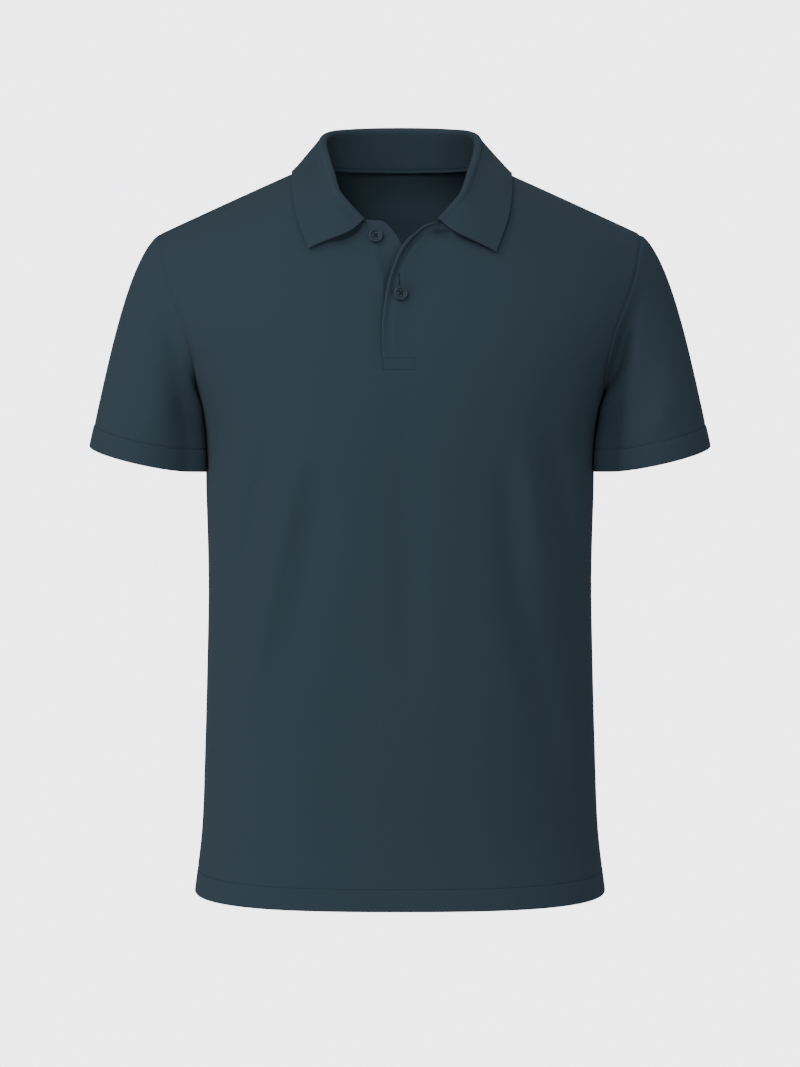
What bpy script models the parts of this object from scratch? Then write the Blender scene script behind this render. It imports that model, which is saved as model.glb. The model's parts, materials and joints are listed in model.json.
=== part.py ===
"""Short-sleeved polo shirt, filled out as if worn, with nobody inside.

Metres, +Z up, the front faces -Y and +X is the wearer's left.
The origin is the middle of the neck, level with the high points of the shoulders.
Every cloth piece is one closed wall: a grid of points on its outer side, and the same grid moved in.
"""

import math
from collections import namedtuple

import bmesh
import bpy
import numpy as np
from mathutils import Matrix

# ---------------------------------------------------------------- driving sizes
CLOTH = 0.0015  # wall of the body and the sleeves
RIB = 0.0020  # wall of the knitted collar and cuffs
PLACKET = 0.0016  # wall of the under placket
FACING = 0.0009  # wall of the facing behind the folded edge
FACING_BACK = 0.0008  # it stops this far short of the fold
FACING_FOOT = 0.10  # and this share of a row short at its foot
FACING_TOP = 0.16  # and at the neckline
SEAM_GAP = 0.0004  # between two pieces at a seam
HEM_DEPTH = 0.021
HEM_CLOTH = 0.0024  # the hem is two layers
SIDE_Y = 0.008  # the side seams and the shoulder ridge lie in this plane

NECK_HALF = 0.081  # from the middle to the high point of a shoulder
SHOULDER_HALF = 0.2235  # from the middle to the shoulder point
SHOULDER_SLOPE = 0.463
RIDGE_ROUND = 0.030
RIDGE_LEVEL_AT = 0.075  # the ridge passes the origin's height here
BACK_NECK_DROP = 0.0118
NECK_SQUARE = 0.72  # under 1 makes the neckline squarer than an ellipse
THROAT_HOLLOW = 0.012

NECK_END = {-1: (-0.0325, -0.0508), 1: (0.0335, -0.0530)}  # where the neckline ends on each side, x and z

ARM_ANGLE = math.radians(61)  # the armhole's angle round a ring, at the shoulder
ARM_BEND = 4.0  # the ring where the armhole starts to turn under
ARM_LOW = 6.5  # the ring of its lowest point

CUFF_CENTRE = (0.2425, -0.003, -0.2820)
CUFF_LONG = 0.0545  # half of the cuff's opening, from the body outwards
CUFF_DEEP = 0.0520  # half of it from front to back
CUFF_TILT = math.radians(12)  # the cuff's opening rises outwards
CUFF_DIP = math.radians(2)  # and falls towards the front
CUFF_DEPTH = 0.021
CUFF_STEP = 0.0006  # the cuff stands out from the sleeve by this much
LEAN_OUTER = 0.225  # how far the sleeve leans out for each metre down, at its outer side
LEAN_INNER = -0.02
LEAN_FORWARD = 0.04
SLEEVE_LIFT = 0.80  # how much the sleeve leaves the shoulder along the body's surface
SLEEVE_START = 0.55
SLEEVE_END = 0.95

TAPE = 0.0008  # thickness of the strip inside the back neck
TAPE_WIDTH = 0.0065
TAPE_FROM = 0.0012  # below the seam
TAPE_CLEAR = 0.0009

BUTTON_TOP = (-0.0226, -0.0659)  # on the under placket, x and z
BUTTON_LOWER = (0.0006, -0.1182)  # on the folded front
BUTTON_PROFILE = [  # radius and height, from the middle of the top, over the rim, to the middle of the underside
    (0.0000, 0.0014),
    (0.0025, 0.0014),
    (0.0046, 0.0016),
    (0.0053, 0.0023),
    (0.0060, 0.0024),
    (0.0066, 0.0020),
    (0.0067, 0.0013),
    (0.0063, 0.0006),
    (0.0052, 0.0000),
    (0.0000, 0.0000),
]
BUTTON_CLEAR = 0.0003  # under the button, where its placket curves
BUTTON_HOLE = 0.0015
BUTTON_HOLE_SPREAD = 0.0015  # from the middle of the button, sideways and up
HOLE_LENGTH = 0.010

# ---------------------------------------------------------------- mesh counts
SIDE_ROWS = 14
RELAX_FROM = 11
RELAX_TURNS = 150
ARM_ROWS = 12
SHOULDER_COLUMNS = 8
NECK_COLUMNS = 7
BACK_NECK_COLUMNS = 12
STAND_ROWS = 3
FALL_ROWS = 5
SLEEVE_ROWS = 9
CUFF_ROWS = 2
BUTTON_SIDES = 28
HOLE_SIDES = 8

# ---------------------------------------------------------------- tables
# A ring is one level section round the body. Ring 0 is the shoulder ridge, where front and back meet.
Ring = namedtuple("Ring", "drop slope half_width front back square")
RINGS = [
    Ring(0.000, 1.00, 0.2570, 0.000, 0.000, 2.30),
    Ring(0.007, 1.00, 0.2560, 0.034, 0.036, 2.30),
    Ring(0.026, 0.95, 0.2530, 0.064, 0.067, 2.30),
    Ring(0.058, 0.80, 0.2475, 0.088, 0.090, 2.30),
    Ring(0.102, 0.55, 0.2370, 0.104, 0.106, 2.32),
    Ring(0.150, 0.30, 0.2200, 0.115, 0.116, 2.34),
    Ring(0.198, 0.12, 0.2010, 0.121, 0.120, 2.36),
    Ring(0.250, 0.03, 0.1872, 0.124, 0.119, 2.38),
    Ring(0.320, 0.00, 0.1850, 0.123, 0.115, 2.40),
    Ring(0.400, 0.00, 0.1834, 0.121, 0.110, 2.40),
    Ring(0.480, 0.00, 0.1850, 0.119, 0.108, 2.40),
    Ring(0.560, 0.00, 0.1874, 0.119, 0.111, 2.40),
    Ring(0.640, 0.00, 0.1908, 0.121, 0.116, 2.44),
    Ring(0.6992, 0.00, 0.1978, 0.127, 0.122, 2.80),
]
HEM_RING = len(RINGS) - 1

# A fold is a soft ridge, or a trough where its height is negative, from one place on the body to another.
Fold = namedtuple("Fold", "x0 z0 x1 z1 width height")
FRONT_FOLDS = [
    Fold(-0.104, -0.270, -0.165, -0.520, 0.013, 0.0045),
    Fold(-0.128, -0.250, -0.180, -0.470, 0.012, -0.0035),
    Fold(-0.088, -0.300, -0.122, -0.480, 0.014, -0.0035),
    Fold(0.118, -0.225, 0.176, -0.500, 0.015, -0.0045),
    Fold(0.098, -0.260, 0.150, -0.520, 0.014, 0.0030),
    Fold(0.082, -0.330, 0.132, -0.540, 0.013, -0.0035),
]
BACK_FOLDS = [
    Fold(-0.110, -0.230, -0.168, -0.480, 0.014, -0.0040),
    Fold(-0.090, -0.260, -0.140, -0.520, 0.014, 0.0035),
    Fold(0.105, -0.240, 0.160, -0.500, 0.014, -0.0040),
    Fold(0.085, -0.270, 0.135, -0.540, 0.014, 0.0035),
    Fold(0.000, -0.330, 0.012, -0.560, 0.022, -0.0040),
]

# The front opening from its foot up. The wearer's left side is folded back on itself: where the folded edge and the far edge
# of its facing lie as seen from the front, and how far the folded edge curls forward.
Fold_edge = namedtuple("Fold_edge", "fold_x fold_z facing_x facing_z curl")
OPENING = [
    Fold_edge(-0.0160, -0.1885, 0.0147, -0.1885, 0.0000),
    Fold_edge(-0.0165, -0.1640, 0.0147, -0.1640, 0.0001),
    Fold_edge(-0.0162, -0.1450, 0.0155, -0.1450, 0.0005),
    Fold_edge(-0.0144, -0.1290, 0.0178, -0.1280, 0.0014),
    Fold_edge(-0.0113, -0.1110, 0.0222, -0.1100, 0.0028),
    Fold_edge(-0.0058, -0.0935, 0.0285, -0.0930, 0.0050),
    Fold_edge(0.0016, -0.0775, 0.0360, -0.0780, 0.0070),
    Fold_edge(0.0112, -0.0660, 0.0425, -0.0670, 0.0078),
    Fold_edge(0.0215, -0.0575, 0.0480, -0.0585, 0.0074),
    Fold_edge(0.0335, -0.0530, 0.0525, -0.0520, 0.0058),
]
CURL_POWER = 2.5  # over 1 keeps the curl near the folded edge
FACING_SHARES = [0, 0.08, 0.2, 0.38, 0.64, 1]

# The under placket on the wearer's right: both edges, and how far each stands off the body.
Band = namedtuple("Band", "left_x left_z right_x right_z left_off right_off")
UNDER_PLACKET = [
    Band(-0.0170, -0.1885, 0.0125, -0.1885, -0.0036, -0.0038),
    Band(-0.0168, -0.1640, 0.0127, -0.1640, -0.0036, -0.0039),
    Band(-0.0167, -0.1450, 0.0130, -0.1450, -0.0030, -0.0040),
    Band(-0.0168, -0.1280, 0.0125, -0.1280, -0.0014, -0.0042),
    Band(-0.0172, -0.1100, 0.0108, -0.1100, 0.0000, -0.0040),
    Band(-0.0190, -0.0940, 0.0078, -0.0940, 0.0002, -0.0028),
    Band(-0.0226, -0.0790, 0.0036, -0.0780, 0.0003, -0.0010),
    Band(-0.0268, -0.0670, -0.0026, -0.0665, 0.0003, 0.0000),
    Band(-0.0302, -0.0570, -0.0090, -0.0580, 0.0002, 0.0004),
    Band(-0.0325, -0.0508, -0.0165, -0.0520, 0.0000, 0.0006),
]

# The collar from the middle of the back to its front end, at even steps: the crest of its fold and its free edge.
Station = namedtuple("Station", "fold_x fold_y fold_z edge_x edge_y edge_z")
COLLAR = {
    1: [
        Station(0.0000, 0.0755, 0.0280, 0.0000, 0.0928, -0.0205),
        Station(0.0250, 0.0735, 0.0278, 0.0345, 0.0878, -0.0203),
        Station(0.0480, 0.0655, 0.0272, 0.0660, 0.0755, -0.0195),
        Station(0.0665, 0.0480, 0.0260, 0.0905, 0.0575, -0.0184),
        Station(0.0740, 0.0200, 0.0210, 0.1040, 0.0300, -0.0134),
        Station(0.0717, -0.0120, 0.0068, 0.1055, -0.0080, -0.0131),
        Station(0.0669, -0.0430, -0.0050, 0.1048, -0.0415, -0.0273),
        Station(0.0575, -0.0665, -0.0265, 0.1008, -0.0680, -0.0500),
        Station(0.0362, -0.0800, -0.0470, 0.0895, -0.0860, -0.0800),
    ],
    -1: [
        Station(0.0000, 0.0755, 0.0280, 0.0000, 0.0928, -0.0205),
        Station(-0.0250, 0.0735, 0.0278, -0.0345, 0.0878, -0.0203),
        Station(-0.0480, 0.0655, 0.0271, -0.0655, 0.0755, -0.0193),
        Station(-0.0660, 0.0480, 0.0258, -0.0880, 0.0590, -0.0182),
        Station(-0.0735, 0.0200, 0.0208, -0.1005, 0.0300, -0.0125),
        Station(-0.0700, -0.0120, 0.0068, -0.1020, -0.0050, -0.0112),
        Station(-0.0650, -0.0430, -0.0060, -0.1002, -0.0440, -0.0277),
        Station(-0.0570, -0.0665, -0.0255, -0.0952, -0.0695, -0.0500),
        Station(-0.0335, -0.0800, -0.0476, -0.0852, -0.0855, -0.0768),
    ],
}
ROLL = 0.0031  # the collar's fold turns round this radius
BELLY = 0.0014  # how far its fall swells out halfway down
END_CLEAR = 0.0009  # its ends lie flat, so their seams stand this much more off the body

COLOURS = {
    "pique": (0.030, 0.051, 0.068, 1.0),
    "rib": (0.031, 0.053, 0.069, 1.0),
    "tape": (0.028, 0.047, 0.062, 1.0),
    "button": (0.034, 0.058, 0.078, 1.0),
}
ROUGHNESS = {"pique": 0.9, "rib": 0.92, "tape": 0.85, "button": 0.35}


# ---------------------------------------------------------------- small maths
def unit(vectors):
    """The vectors with length 1."""
    return vectors / np.maximum(np.linalg.norm(vectors, axis=-1, keepdims=True), 1e-12)


def smooth(t):
    """0 to 1 with level ends."""
    t = np.clip(t, 0.0, 1.0)
    return t * t * (3 - 2 * t)


def spline(rows, at):
    """A Catmull-Rom curve through evenly numbered rows, read at positions 0 to len(rows) - 1."""
    rows = np.asarray(rows, float)
    padded = np.vstack([2 * rows[0] - rows[1], rows, 2 * rows[-1] - rows[-2]])
    at = np.clip(np.asarray(at, float), 0.0, len(rows) - 1.0)
    step = np.minimum(at.astype(int), len(rows) - 2)
    t = (at - step)[..., None]
    a, b, c, d = (padded[step + k] for k in range(4))
    return 0.5 * (2 * b + (c - a) * t + (2 * a - 5 * b + 4 * c - d) * t**2 + (3 * b - a - 3 * c + d) * t**3)


def spaced(points, count):
    """A curve's points again, count + 1 of them at even distances."""
    points = np.asarray(points, float)
    along = np.concatenate([[0], np.cumsum(np.linalg.norm(np.diff(points, axis=0), axis=1))])
    at = np.linspace(0, along[-1], count + 1)
    return np.stack([np.interp(at, along, points[:, k]) for k in range(points.shape[1])], axis=1)


# ---------------------------------------------------------------- the body's form
def ring_values(ring):
    """Drop, slope, half width, front, back and squareness at any ring number."""
    table = np.array(RINGS, float)
    mirrored = np.vstack([table[1] * (1, 1, 1, -1, -1, 1), table])
    values = spline(mirrored, np.asarray(ring) + 1.0)
    return [values[..., k] for k in range(6)]


def ridge_height(x):
    """The shoulder ridge, seen from the front."""
    return -SHOULDER_SLOPE * (np.hypot(x, RIDGE_ROUND) - math.hypot(RIDGE_LEVEL_AT, RIDGE_ROUND))


def fold_height(folds, x, z):
    """How far the folds lift the cloth at these places."""
    lift = np.zeros(np.broadcast(x, z).shape)
    for fold in folds:
        run = np.array([fold.x1 - fold.x0, fold.z1 - fold.z0])
        along = ((x - fold.x0) * run[0] + (z - fold.z0) * run[1]) / (run @ run)
        across = ((x - fold.x0) * run[1] - (z - fold.z0) * run[0]) / math.hypot(*run)
        fade = np.exp(-(((along - 0.5) / 0.42) ** 4))
        lift += fold.height * fade * np.exp(-((across / fold.width) ** 2))
    return lift


def body_point(angle, ring, face):
    """A point of the body's outer side. angle is 0 at the middle and +-90 degrees at the sides, and face is -1 for the front."""
    drop, slope, half, front, back, square = ring_values(ring)
    power = 2.0 / square
    x = half * np.sign(angle) * np.abs(np.sin(angle)) ** power
    z = slope * ridge_height(x) - drop
    depth = (front if face < 0 else back) * np.maximum(np.cos(angle), 0.0) ** power
    if face < 0:
        hollow = np.exp(-((x / 0.060) ** 2)) * smooth((ring - 0.5) / 2.0) * smooth((6.5 - ring) / 4.0)
        depth = depth - THROAT_HOLLOW * hollow
    folds = FRONT_FOLDS if face < 0 else BACK_FOLDS
    lift = fold_height(folds, x, z) * np.maximum(np.cos(angle), 0.0)
    return np.stack([x, SIDE_Y + face * (depth + lift), z], axis=-1)


def body_normal(angle, ring, face):
    """The outward direction of the body's surface."""
    step = 0.004
    low = np.maximum(ring - step, 0.0)
    high = np.minimum(ring + step, HEM_RING)
    limit = math.pi / 2
    across = body_point(np.minimum(angle + step, limit), ring, face) - body_point(np.maximum(angle - step, -limit), ring, face)
    down = body_point(angle, high, face) - body_point(angle, low, face)
    return unit(np.cross(across, down) * face)


def locate(x, z):
    """The angle and ring of the body's point that is seen from the front at x, z."""
    low, high = np.zeros(np.shape(x)), np.full(np.shape(x), float(HEM_RING))
    for _ in range(40):
        middle = (low + high) / 2
        drop, slope = ring_values(middle)[:2]
        below = slope * ridge_height(x) - drop < z
        high = np.where(below, middle, high)
        low = np.where(below, low, middle)
    _, _, half, _, _, square = ring_values(low)
    share = np.clip(np.abs(x) / half, 0, 1)
    return np.stack([np.sign(x) * np.arcsin(share ** (square / 2)), low], axis=-1)


def on_front(x, z, off=0.0):
    """Points standing off the front by a distance, and the outward directions there."""
    place = locate(np.asarray(x, float), np.asarray(z, float))
    normal = body_normal(place[..., 0], place[..., 1], -1)
    return body_point(place[..., 0], place[..., 1], -1) + normal * np.asarray(off)[..., None], normal


# ---------------------------------------------------------------- outlines of the panels, as angle and ring
def side_line(side):
    """The side seam from the hem up, then the armhole to the shoulder point."""
    seam = np.stack([np.full(SIDE_ROWS + 1, math.pi / 2), hem_rows(ARM_LOW)], axis=1)
    turn = np.linspace(math.pi / 2, 0, 40)
    under = np.stack(
        [
            ARM_ANGLE + (math.pi / 2 - ARM_ANGLE) * (1 - np.cos(turn)),
            ARM_BEND + (ARM_LOW - ARM_BEND) * np.sin(turn),
        ],
        axis=1,
    )
    rise = np.stack([np.full(20, ARM_ANGLE), np.linspace(ARM_BEND, 0, 20)], axis=1)
    armhole = spaced(np.vstack([under, rise[1:]]) * (0.28, 0.045), ARM_ROWS) / (0.28, 0.045)
    line = np.vstack([seam, armhole[1:]])
    return line * (side, 1)


def shoulder_line(side):
    """The shoulder seam from the shoulder point to the neck."""
    x = np.linspace(SHOULDER_HALF, NECK_HALF, SHOULDER_COLUMNS + 1)
    half, square = RINGS[0].half_width, RINGS[0].square
    angle = np.arcsin((x / half) ** (square / 2))
    angle[0] = ARM_ANGLE
    return np.stack([side * angle, np.zeros_like(angle)], axis=1)


def even_places(places, count, face):
    """The places along a line on the body again, count + 1 of them at even distances."""
    points = body_point(places[:, 0], places[:, 1], face)
    along = np.concatenate([[0], np.cumsum(np.linalg.norm(np.diff(points, axis=0), axis=1))])
    at = np.linspace(0, along[-1], count + 1)
    return np.stack([np.interp(at, along, places[:, k]) for k in (0, 1)], axis=1)


def neck_arc(side):
    """The whole front neckline of one side as places, from the shoulder to its end."""
    end_x, end_z = NECK_END[side]
    top = ridge_height(NECK_HALF)
    turn = np.linspace(0, math.pi / 2, 160)
    x = end_x + (side * NECK_HALF - end_x) * np.maximum(np.cos(turn), 0) ** NECK_SQUARE
    z = top + (end_z - top) * np.sin(turn) ** NECK_SQUARE
    places = locate(x, z)
    places[0] = shoulder_line(side)[-1]
    return places, x


def neck_curve(side):
    """The front neckline from the shoulder to the left of the wearer's facing, or on the right side to its end."""
    places, x = neck_arc(side)
    if side > 0:
        places = places[x >= OPENING[-1].facing_x]
    return even_places(places, NECK_COLUMNS, -1)


def facing_neck_curve():
    """The neckline from the folded edge out to the far edge of the facing."""
    places = neck_arc(1)[0][::-1]
    x = neck_arc(1)[1][::-1]
    kept = np.vstack([places[x < OPENING[-1].facing_x], neck_curve(1)[-1:]])
    fine = even_places(kept, 100, -1)
    return fine[(np.array(FACING_SHARES) * 100).astype(int)]


def back_neck_curve():
    """The back neckline, from the wearer's right shoulder to the left one."""
    turn = np.linspace(math.pi, 0, 160)
    x = NECK_HALF * np.cos(turn)
    z = ridge_height(NECK_HALF) - BACK_NECK_DROP * np.maximum(np.sin(turn), 0) ** 0.5
    places = locate(x, z)
    places[0], places[-1] = (shoulder_line(side)[-1] for side in (-1, 1))
    return even_places(places, BACK_NECK_COLUMNS, 1)


def table_rows(table, count):
    """A table of two edges read at even rows along the line halfway between them."""
    fine = spline(np.array(table), np.linspace(0, len(table) - 1, 240))
    middle = (fine[:, :2] + fine[:, 2:4]) / 2
    along = np.concatenate([[0], np.cumsum(np.linalg.norm(np.diff(middle, axis=0), axis=1))])
    at = np.linspace(0, along[-1], count + 1)
    return np.stack([np.interp(at, along, fine[:, k]) for k in range(fine.shape[1])], axis=1)


def with_lower_part(edge):
    """A line that starts at the foot of the opening, taken straight down to the hem."""
    rows = hem_rows(edge[0, 1])
    return np.vstack([np.stack([np.full(len(rows), edge[0, 0]), rows], axis=1), edge[1:]])


def under_line():
    """The seam of the under placket, from the hem up to the neckline."""
    rows = table_rows(UNDER_PLACKET, ARM_ROWS)
    edge = locate(rows[:, 0], rows[:, 1])
    edge[-1] = neck_curve(-1)[-1]
    return with_lower_part(edge)


def facing_strip():
    """The cloth between the folded edge and the far edge of its facing, from the hem up: places, and how far each curls forward."""
    rows = table_rows(OPENING, ARM_ROWS)[:, None]
    s = np.array(FACING_SHARES)[None, :]
    x = rows[..., 0] * (1 - s) + rows[..., 2] * s
    z = rows[..., 1] * (1 - s) + rows[..., 3] * s
    places = locate(x, z)
    places[-1] = facing_neck_curve()
    curl = rows[..., 4] * (1 - s) ** CURL_POWER
    whole = np.stack([with_lower_part(places[:, k]) for k in range(len(FACING_SHARES))], axis=1)
    return whole, np.vstack([np.zeros((SIDE_ROWS, curl.shape[1])), curl])


def patch(left, right, top):
    """A grid between two side lines and a top line that meet at its corners: rows from the hem up, columns from left to right."""
    rows = np.arange(len(left))
    share = np.clip((rows - SIDE_ROWS) / ARM_ROWS, 0, 1)[:, None, None]
    s = np.linspace(0, 1, len(top))[None, :, None]
    sides = (1 - s) * left[:, None] + s * right[:, None]
    bend = top[None] - ((1 - s) * top[0] + s * top[-1])
    return relaxed(sides + share**1.5 * bend)


def relaxed(grid):
    """The grid with its upper inner points spread so that its lines cross squarely and no cell folds over."""
    scale = np.array([0.23, 0.05])
    flat = grid * scale
    for _ in range(RELAX_TURNS):
        part = flat[RELAX_FROM - 1 :]
        up, down, right, left = part[2:, 1:-1], part[:-2, 1:-1], part[1:-1, 2:], part[1:-1, :-2]
        along, across = (up - down) / 2, (right - left) / 2
        a = (along**2).sum(-1, keepdims=True)
        c = (across**2).sum(-1, keepdims=True)
        b = (along * across).sum(-1, keepdims=True)
        mixed = part[2:, 2:] - part[2:, :-2] - part[:-2, 2:] + part[:-2, :-2]
        moved = (a * (right + left) + c * (up + down) - b / 2 * mixed) / (2 * (a + c))
        part[1:-1, 1:-1] += (moved - part[1:-1, 1:-1]) * 0.8
    return flat / scale


def hem_rows(top):
    """Ring numbers from the hem up to top: rows at the hem's own depth, then even ones."""
    drops = np.array([ring.drop for ring in RINGS])
    numbers = np.interp([drops[-1] - HEM_DEPTH, drops[-1] - HEM_DEPTH - 0.0015], drops, np.arange(len(RINGS)))
    return np.concatenate([[HEM_RING], numbers, np.linspace(numbers[1], top, SIDE_ROWS - 1)[1:]])


def front_grid():
    """The front panel's places, how far each curls forward, and which of its cells are cloth."""
    strip, curl = facing_strip()
    blocks = []
    for side, inner in ((-1, under_line()), (1, strip[:, -1])):
        top = np.vstack([shoulder_line(side), neck_curve(side)[1:]])
        block = patch(side_line(side), inner, top)
        blocks.append(block if side < 0 else block[:, ::-1])
    left, right = blocks
    grid = np.concatenate([left, strip, right[:, 1:]], axis=1)
    lift = np.zeros(grid.shape[:2])
    lift[:, left.shape[1] : left.shape[1] + strip.shape[1]] = curl
    cloth = np.ones((grid.shape[0] - 1, grid.shape[1] - 1), bool)
    cloth[SIDE_ROWS:, left.shape[1] - 1] = False
    return grid, lift, cloth


def back_grid():
    """The back panel's angles and rings."""
    left, right = side_line(-1), side_line(1)
    top = np.vstack([shoulder_line(-1), back_neck_curve()[1:-1], shoulder_line(1)[::-1]])
    return patch(left, right, top)


# ---------------------------------------------------------------- walls
def wall(name, outer, inner, material, cloth=None, ring=False):
    """A closed wall between two grids of points. ring joins the last column to the first."""
    rows, columns = outer.shape[:2]
    cells = columns if ring else columns - 1
    present = np.ones((rows - 1, cells), bool) if cloth is None else cloth
    mesh = bmesh.new()
    made = {}

    def vertex(layer, i, j):
        key = (layer, i, j % columns)
        if key not in made:
            made[key] = mesh.verts.new((outer, inner)[layer][i, j % columns])
        return made[key]

    def edge_open(i, j):
        inside = 0 <= i < rows - 1 and (ring or 0 <= j < cells)
        return not (inside and present[i, j % cells])

    for i in range(rows - 1):
        for j in range(cells):
            if not present[i, j]:
                continue
            corners = [(i, j), (i, j + 1), (i + 1, j + 1), (i + 1, j)]
            mesh.faces.new([vertex(0, *c) for c in corners])
            mesh.faces.new([vertex(1, *c) for c in reversed(corners)])
            neighbours = [(i - 1, j), (i, j + 1), (i + 1, j), (i, j - 1)]
            for k, neighbour in enumerate(neighbours):
                if edge_open(*neighbour):
                    a, b = corners[k], corners[(k + 1) % 4]
                    mesh.faces.new([vertex(0, *b), vertex(0, *a), vertex(1, *a), vertex(1, *b)])
    bmesh.ops.recalc_face_normals(mesh, faces=mesh.faces[:])
    return add_object(name, mesh, material)


def add_object(name, mesh, material):
    """A mesh as a named object of the shirt, shaded smooth with its edges kept."""
    data = bpy.data.meshes.new(name)
    mesh.to_mesh(data)
    mesh.free()
    data.shade_smooth()
    data.set_sharp_from_angle(angle=math.radians(40))
    data.materials.append(MATERIALS[material])
    part = bpy.data.objects.new(name, data)
    SHIRT.objects.link(part)
    return part


def make_material(slot):
    material = bpy.data.materials.new(slot)
    material.use_nodes = True
    shader = material.node_tree.nodes["Principled BSDF"]
    shader.inputs["Base Color"].default_value = COLOURS[slot]
    shader.inputs["Roughness"].default_value = ROUGHNESS[slot]
    shader.inputs["Metallic"].default_value = 0.0
    return material


# ---------------------------------------------------------------- body panels
def aside(line, normals, towards):
    """The directions off a seam within the cloth, on the side that towards points to."""
    off = unit(np.cross(unit(np.gradient(line, axis=0)), normals))
    return off * np.where((off * towards).sum(-1, keepdims=True) < 0, -1.0, 1.0)


def panel_points(grid, face):
    """The outer points of a body panel, and the directions that its wall follows."""
    points = body_point(grid[..., 0], grid[..., 1], face)
    normals = body_normal(grid[..., 0], grid[..., 1], face)
    for column, side in ((0, -1), (-1, 1)):
        normals[SIDE_ROWS:, column] = armhole_half(ARMHOLE.normals, face) * (side, 1, 1)
    for columns, stations in neck_places(face):
        normals[-1, columns] = NECKLINE.normals[stations]
    return points, normals


def close_in(points, normals, face):
    """Takes half the seam gap off the sides and the top of a panel."""
    half = SEAM_GAP / 2
    moved = points.copy()
    for column, side in ((0, -1), (-1, 1)):
        moved[: SIDE_ROWS + 1, column, 1] += face * half
        moved[SIDE_ROWS:, column] += armhole_half(ARMHOLE.bodyward, face) * (side, 1, 1) * half
    for columns in (slice(0, SHOULDER_COLUMNS + 1), slice(-SHOULDER_COLUMNS - 1, None)):
        moved[-1, columns, 1] += face * half
    for columns, stations in neck_places(face):
        moved[-1, columns] += NECKLINE.bodyward[stations] * half
    return moved


def wall_depth(grid):
    """The wall's thickness at each point: two layers at the hem, one above it."""
    depth = np.full(grid.shape[:2], CLOTH)
    depth[:2] = HEM_CLOTH
    return depth[..., None]


def neck_places(face):
    """Which columns of a panel's top row lie on the neckline, and at which of its stations."""
    facing = len(FACING_SHARES) - 1
    back, left = facing + NECK_COLUMNS, facing + NECK_COLUMNS + BACK_NECK_COLUMNS
    first, last = SHOULDER_COLUMNS, SHOULDER_COLUMNS + NECK_COLUMNS
    if face > 0:
        return [(np.arange(first, first + BACK_NECK_COLUMNS + 1), np.arange(left, back - 1, -1))]
    return [
        (np.arange(first, last + 1), np.arange(left, left + NECK_COLUMNS + 1)),
        (np.arange(last + 1, last + 2 + back), np.arange(0, back + 1)),
    ]


def build_front():
    """The front panel. It returns the points and directions of the strip along the folded edge."""
    grid, lift, cloth = front_grid()
    points, normals = panel_points(grid, -1)
    points[..., 1] -= lift
    under, fold = SHOULDER_COLUMNS + NECK_COLUMNS, SHOULDER_COLUMNS + NECK_COLUMNS + 1
    strip = slice(fold, fold + len(FACING_SHARES))
    turned = sheet_normals(points[:, fold : strip.stop + 1])[:, :-1]
    turned *= np.where((turned * normals[:, strip]).sum(-1, keepdims=True) < 0, -1.0, 1.0)
    normals[SIDE_ROWS:-1, strip] = turned[SIDE_ROWS:-1]
    outer = close_in(points, normals, -1)
    rows = slice(SIDE_ROWS, None)
    towards = points[rows, under - 1] - points[rows, under]
    outer[rows, under] += aside(points[rows, under], normals[rows, under], towards) * SEAM_GAP / 2
    wall("front", outer, outer - normals * wall_depth(grid), "pique", cloth)
    return outer[rows, strip], normals[rows, strip]


def build_back():
    """The back panel. It returns its inner points and the directions of its wall."""
    grid = back_grid()
    points, normals = panel_points(grid, 1)
    outer = close_in(points, normals, 1)
    inside = outer - normals * wall_depth(grid)
    wall("back", outer, inside, "pique")
    return inside, normals


# ---------------------------------------------------------------- sleeves and cuffs
# The armhole of the wearer's left: from its lowest point up the front, over the shoulder and down the back.
Armhole = namedtuple("Armhole", "points body normals bodyward")


def armhole_half(values, face):
    """The front or the back half of the armhole's rows, from the lowest point up."""
    return values[: ARM_ROWS + 1] if face < 0 else np.vstack([values[:1], values[: ARM_ROWS - 1 : -1]])


def armhole_loop():
    """The armhole's points and the body's outward directions there."""
    line = side_line(1)[SIDE_ROWS:]
    front, back = (body_point(line[:, 0], line[:, 1], face) for face in (-1, 1))
    front_way, back_way = (body_normal(line[:, 0], line[:, 1], face) for face in (-1, 1))
    return np.vstack([front, back[-2:0:-1]]), np.vstack([front_way, back_way[-2:0:-1]])


def cuff_point(turn, up, grow):
    """Points round the sleeve at a height above the cuff's edge. turn is 0 at the outer side."""
    cos, sin = np.cos(turn)[:, None], np.sin(turn)[:, None]
    out = np.array([math.cos(CUFF_TILT), 0, math.sin(CUFF_TILT)])
    forward = np.array([0, -math.cos(CUFF_DIP), -math.sin(CUFF_DIP)])
    return np.array(CUFF_CENTRE) + cos * out * (CUFF_LONG + grow) + sin * forward * (CUFF_DEEP + grow) - sleeve_way(turn) * up


def sleeve_way(turn):
    """The way down the sleeve at its lower end."""
    lean = (LEAN_OUTER + LEAN_INNER) / 2 + (LEAN_OUTER - LEAN_INNER) / 2 * np.cos(turn)
    return unit(np.stack([lean, np.full_like(lean, -LEAN_FORWARD), np.full_like(lean, -1.0)], axis=1))


def sleeve_turns():
    return math.pi - math.pi * np.arange(2 * ARM_ROWS) / ARM_ROWS


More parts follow.
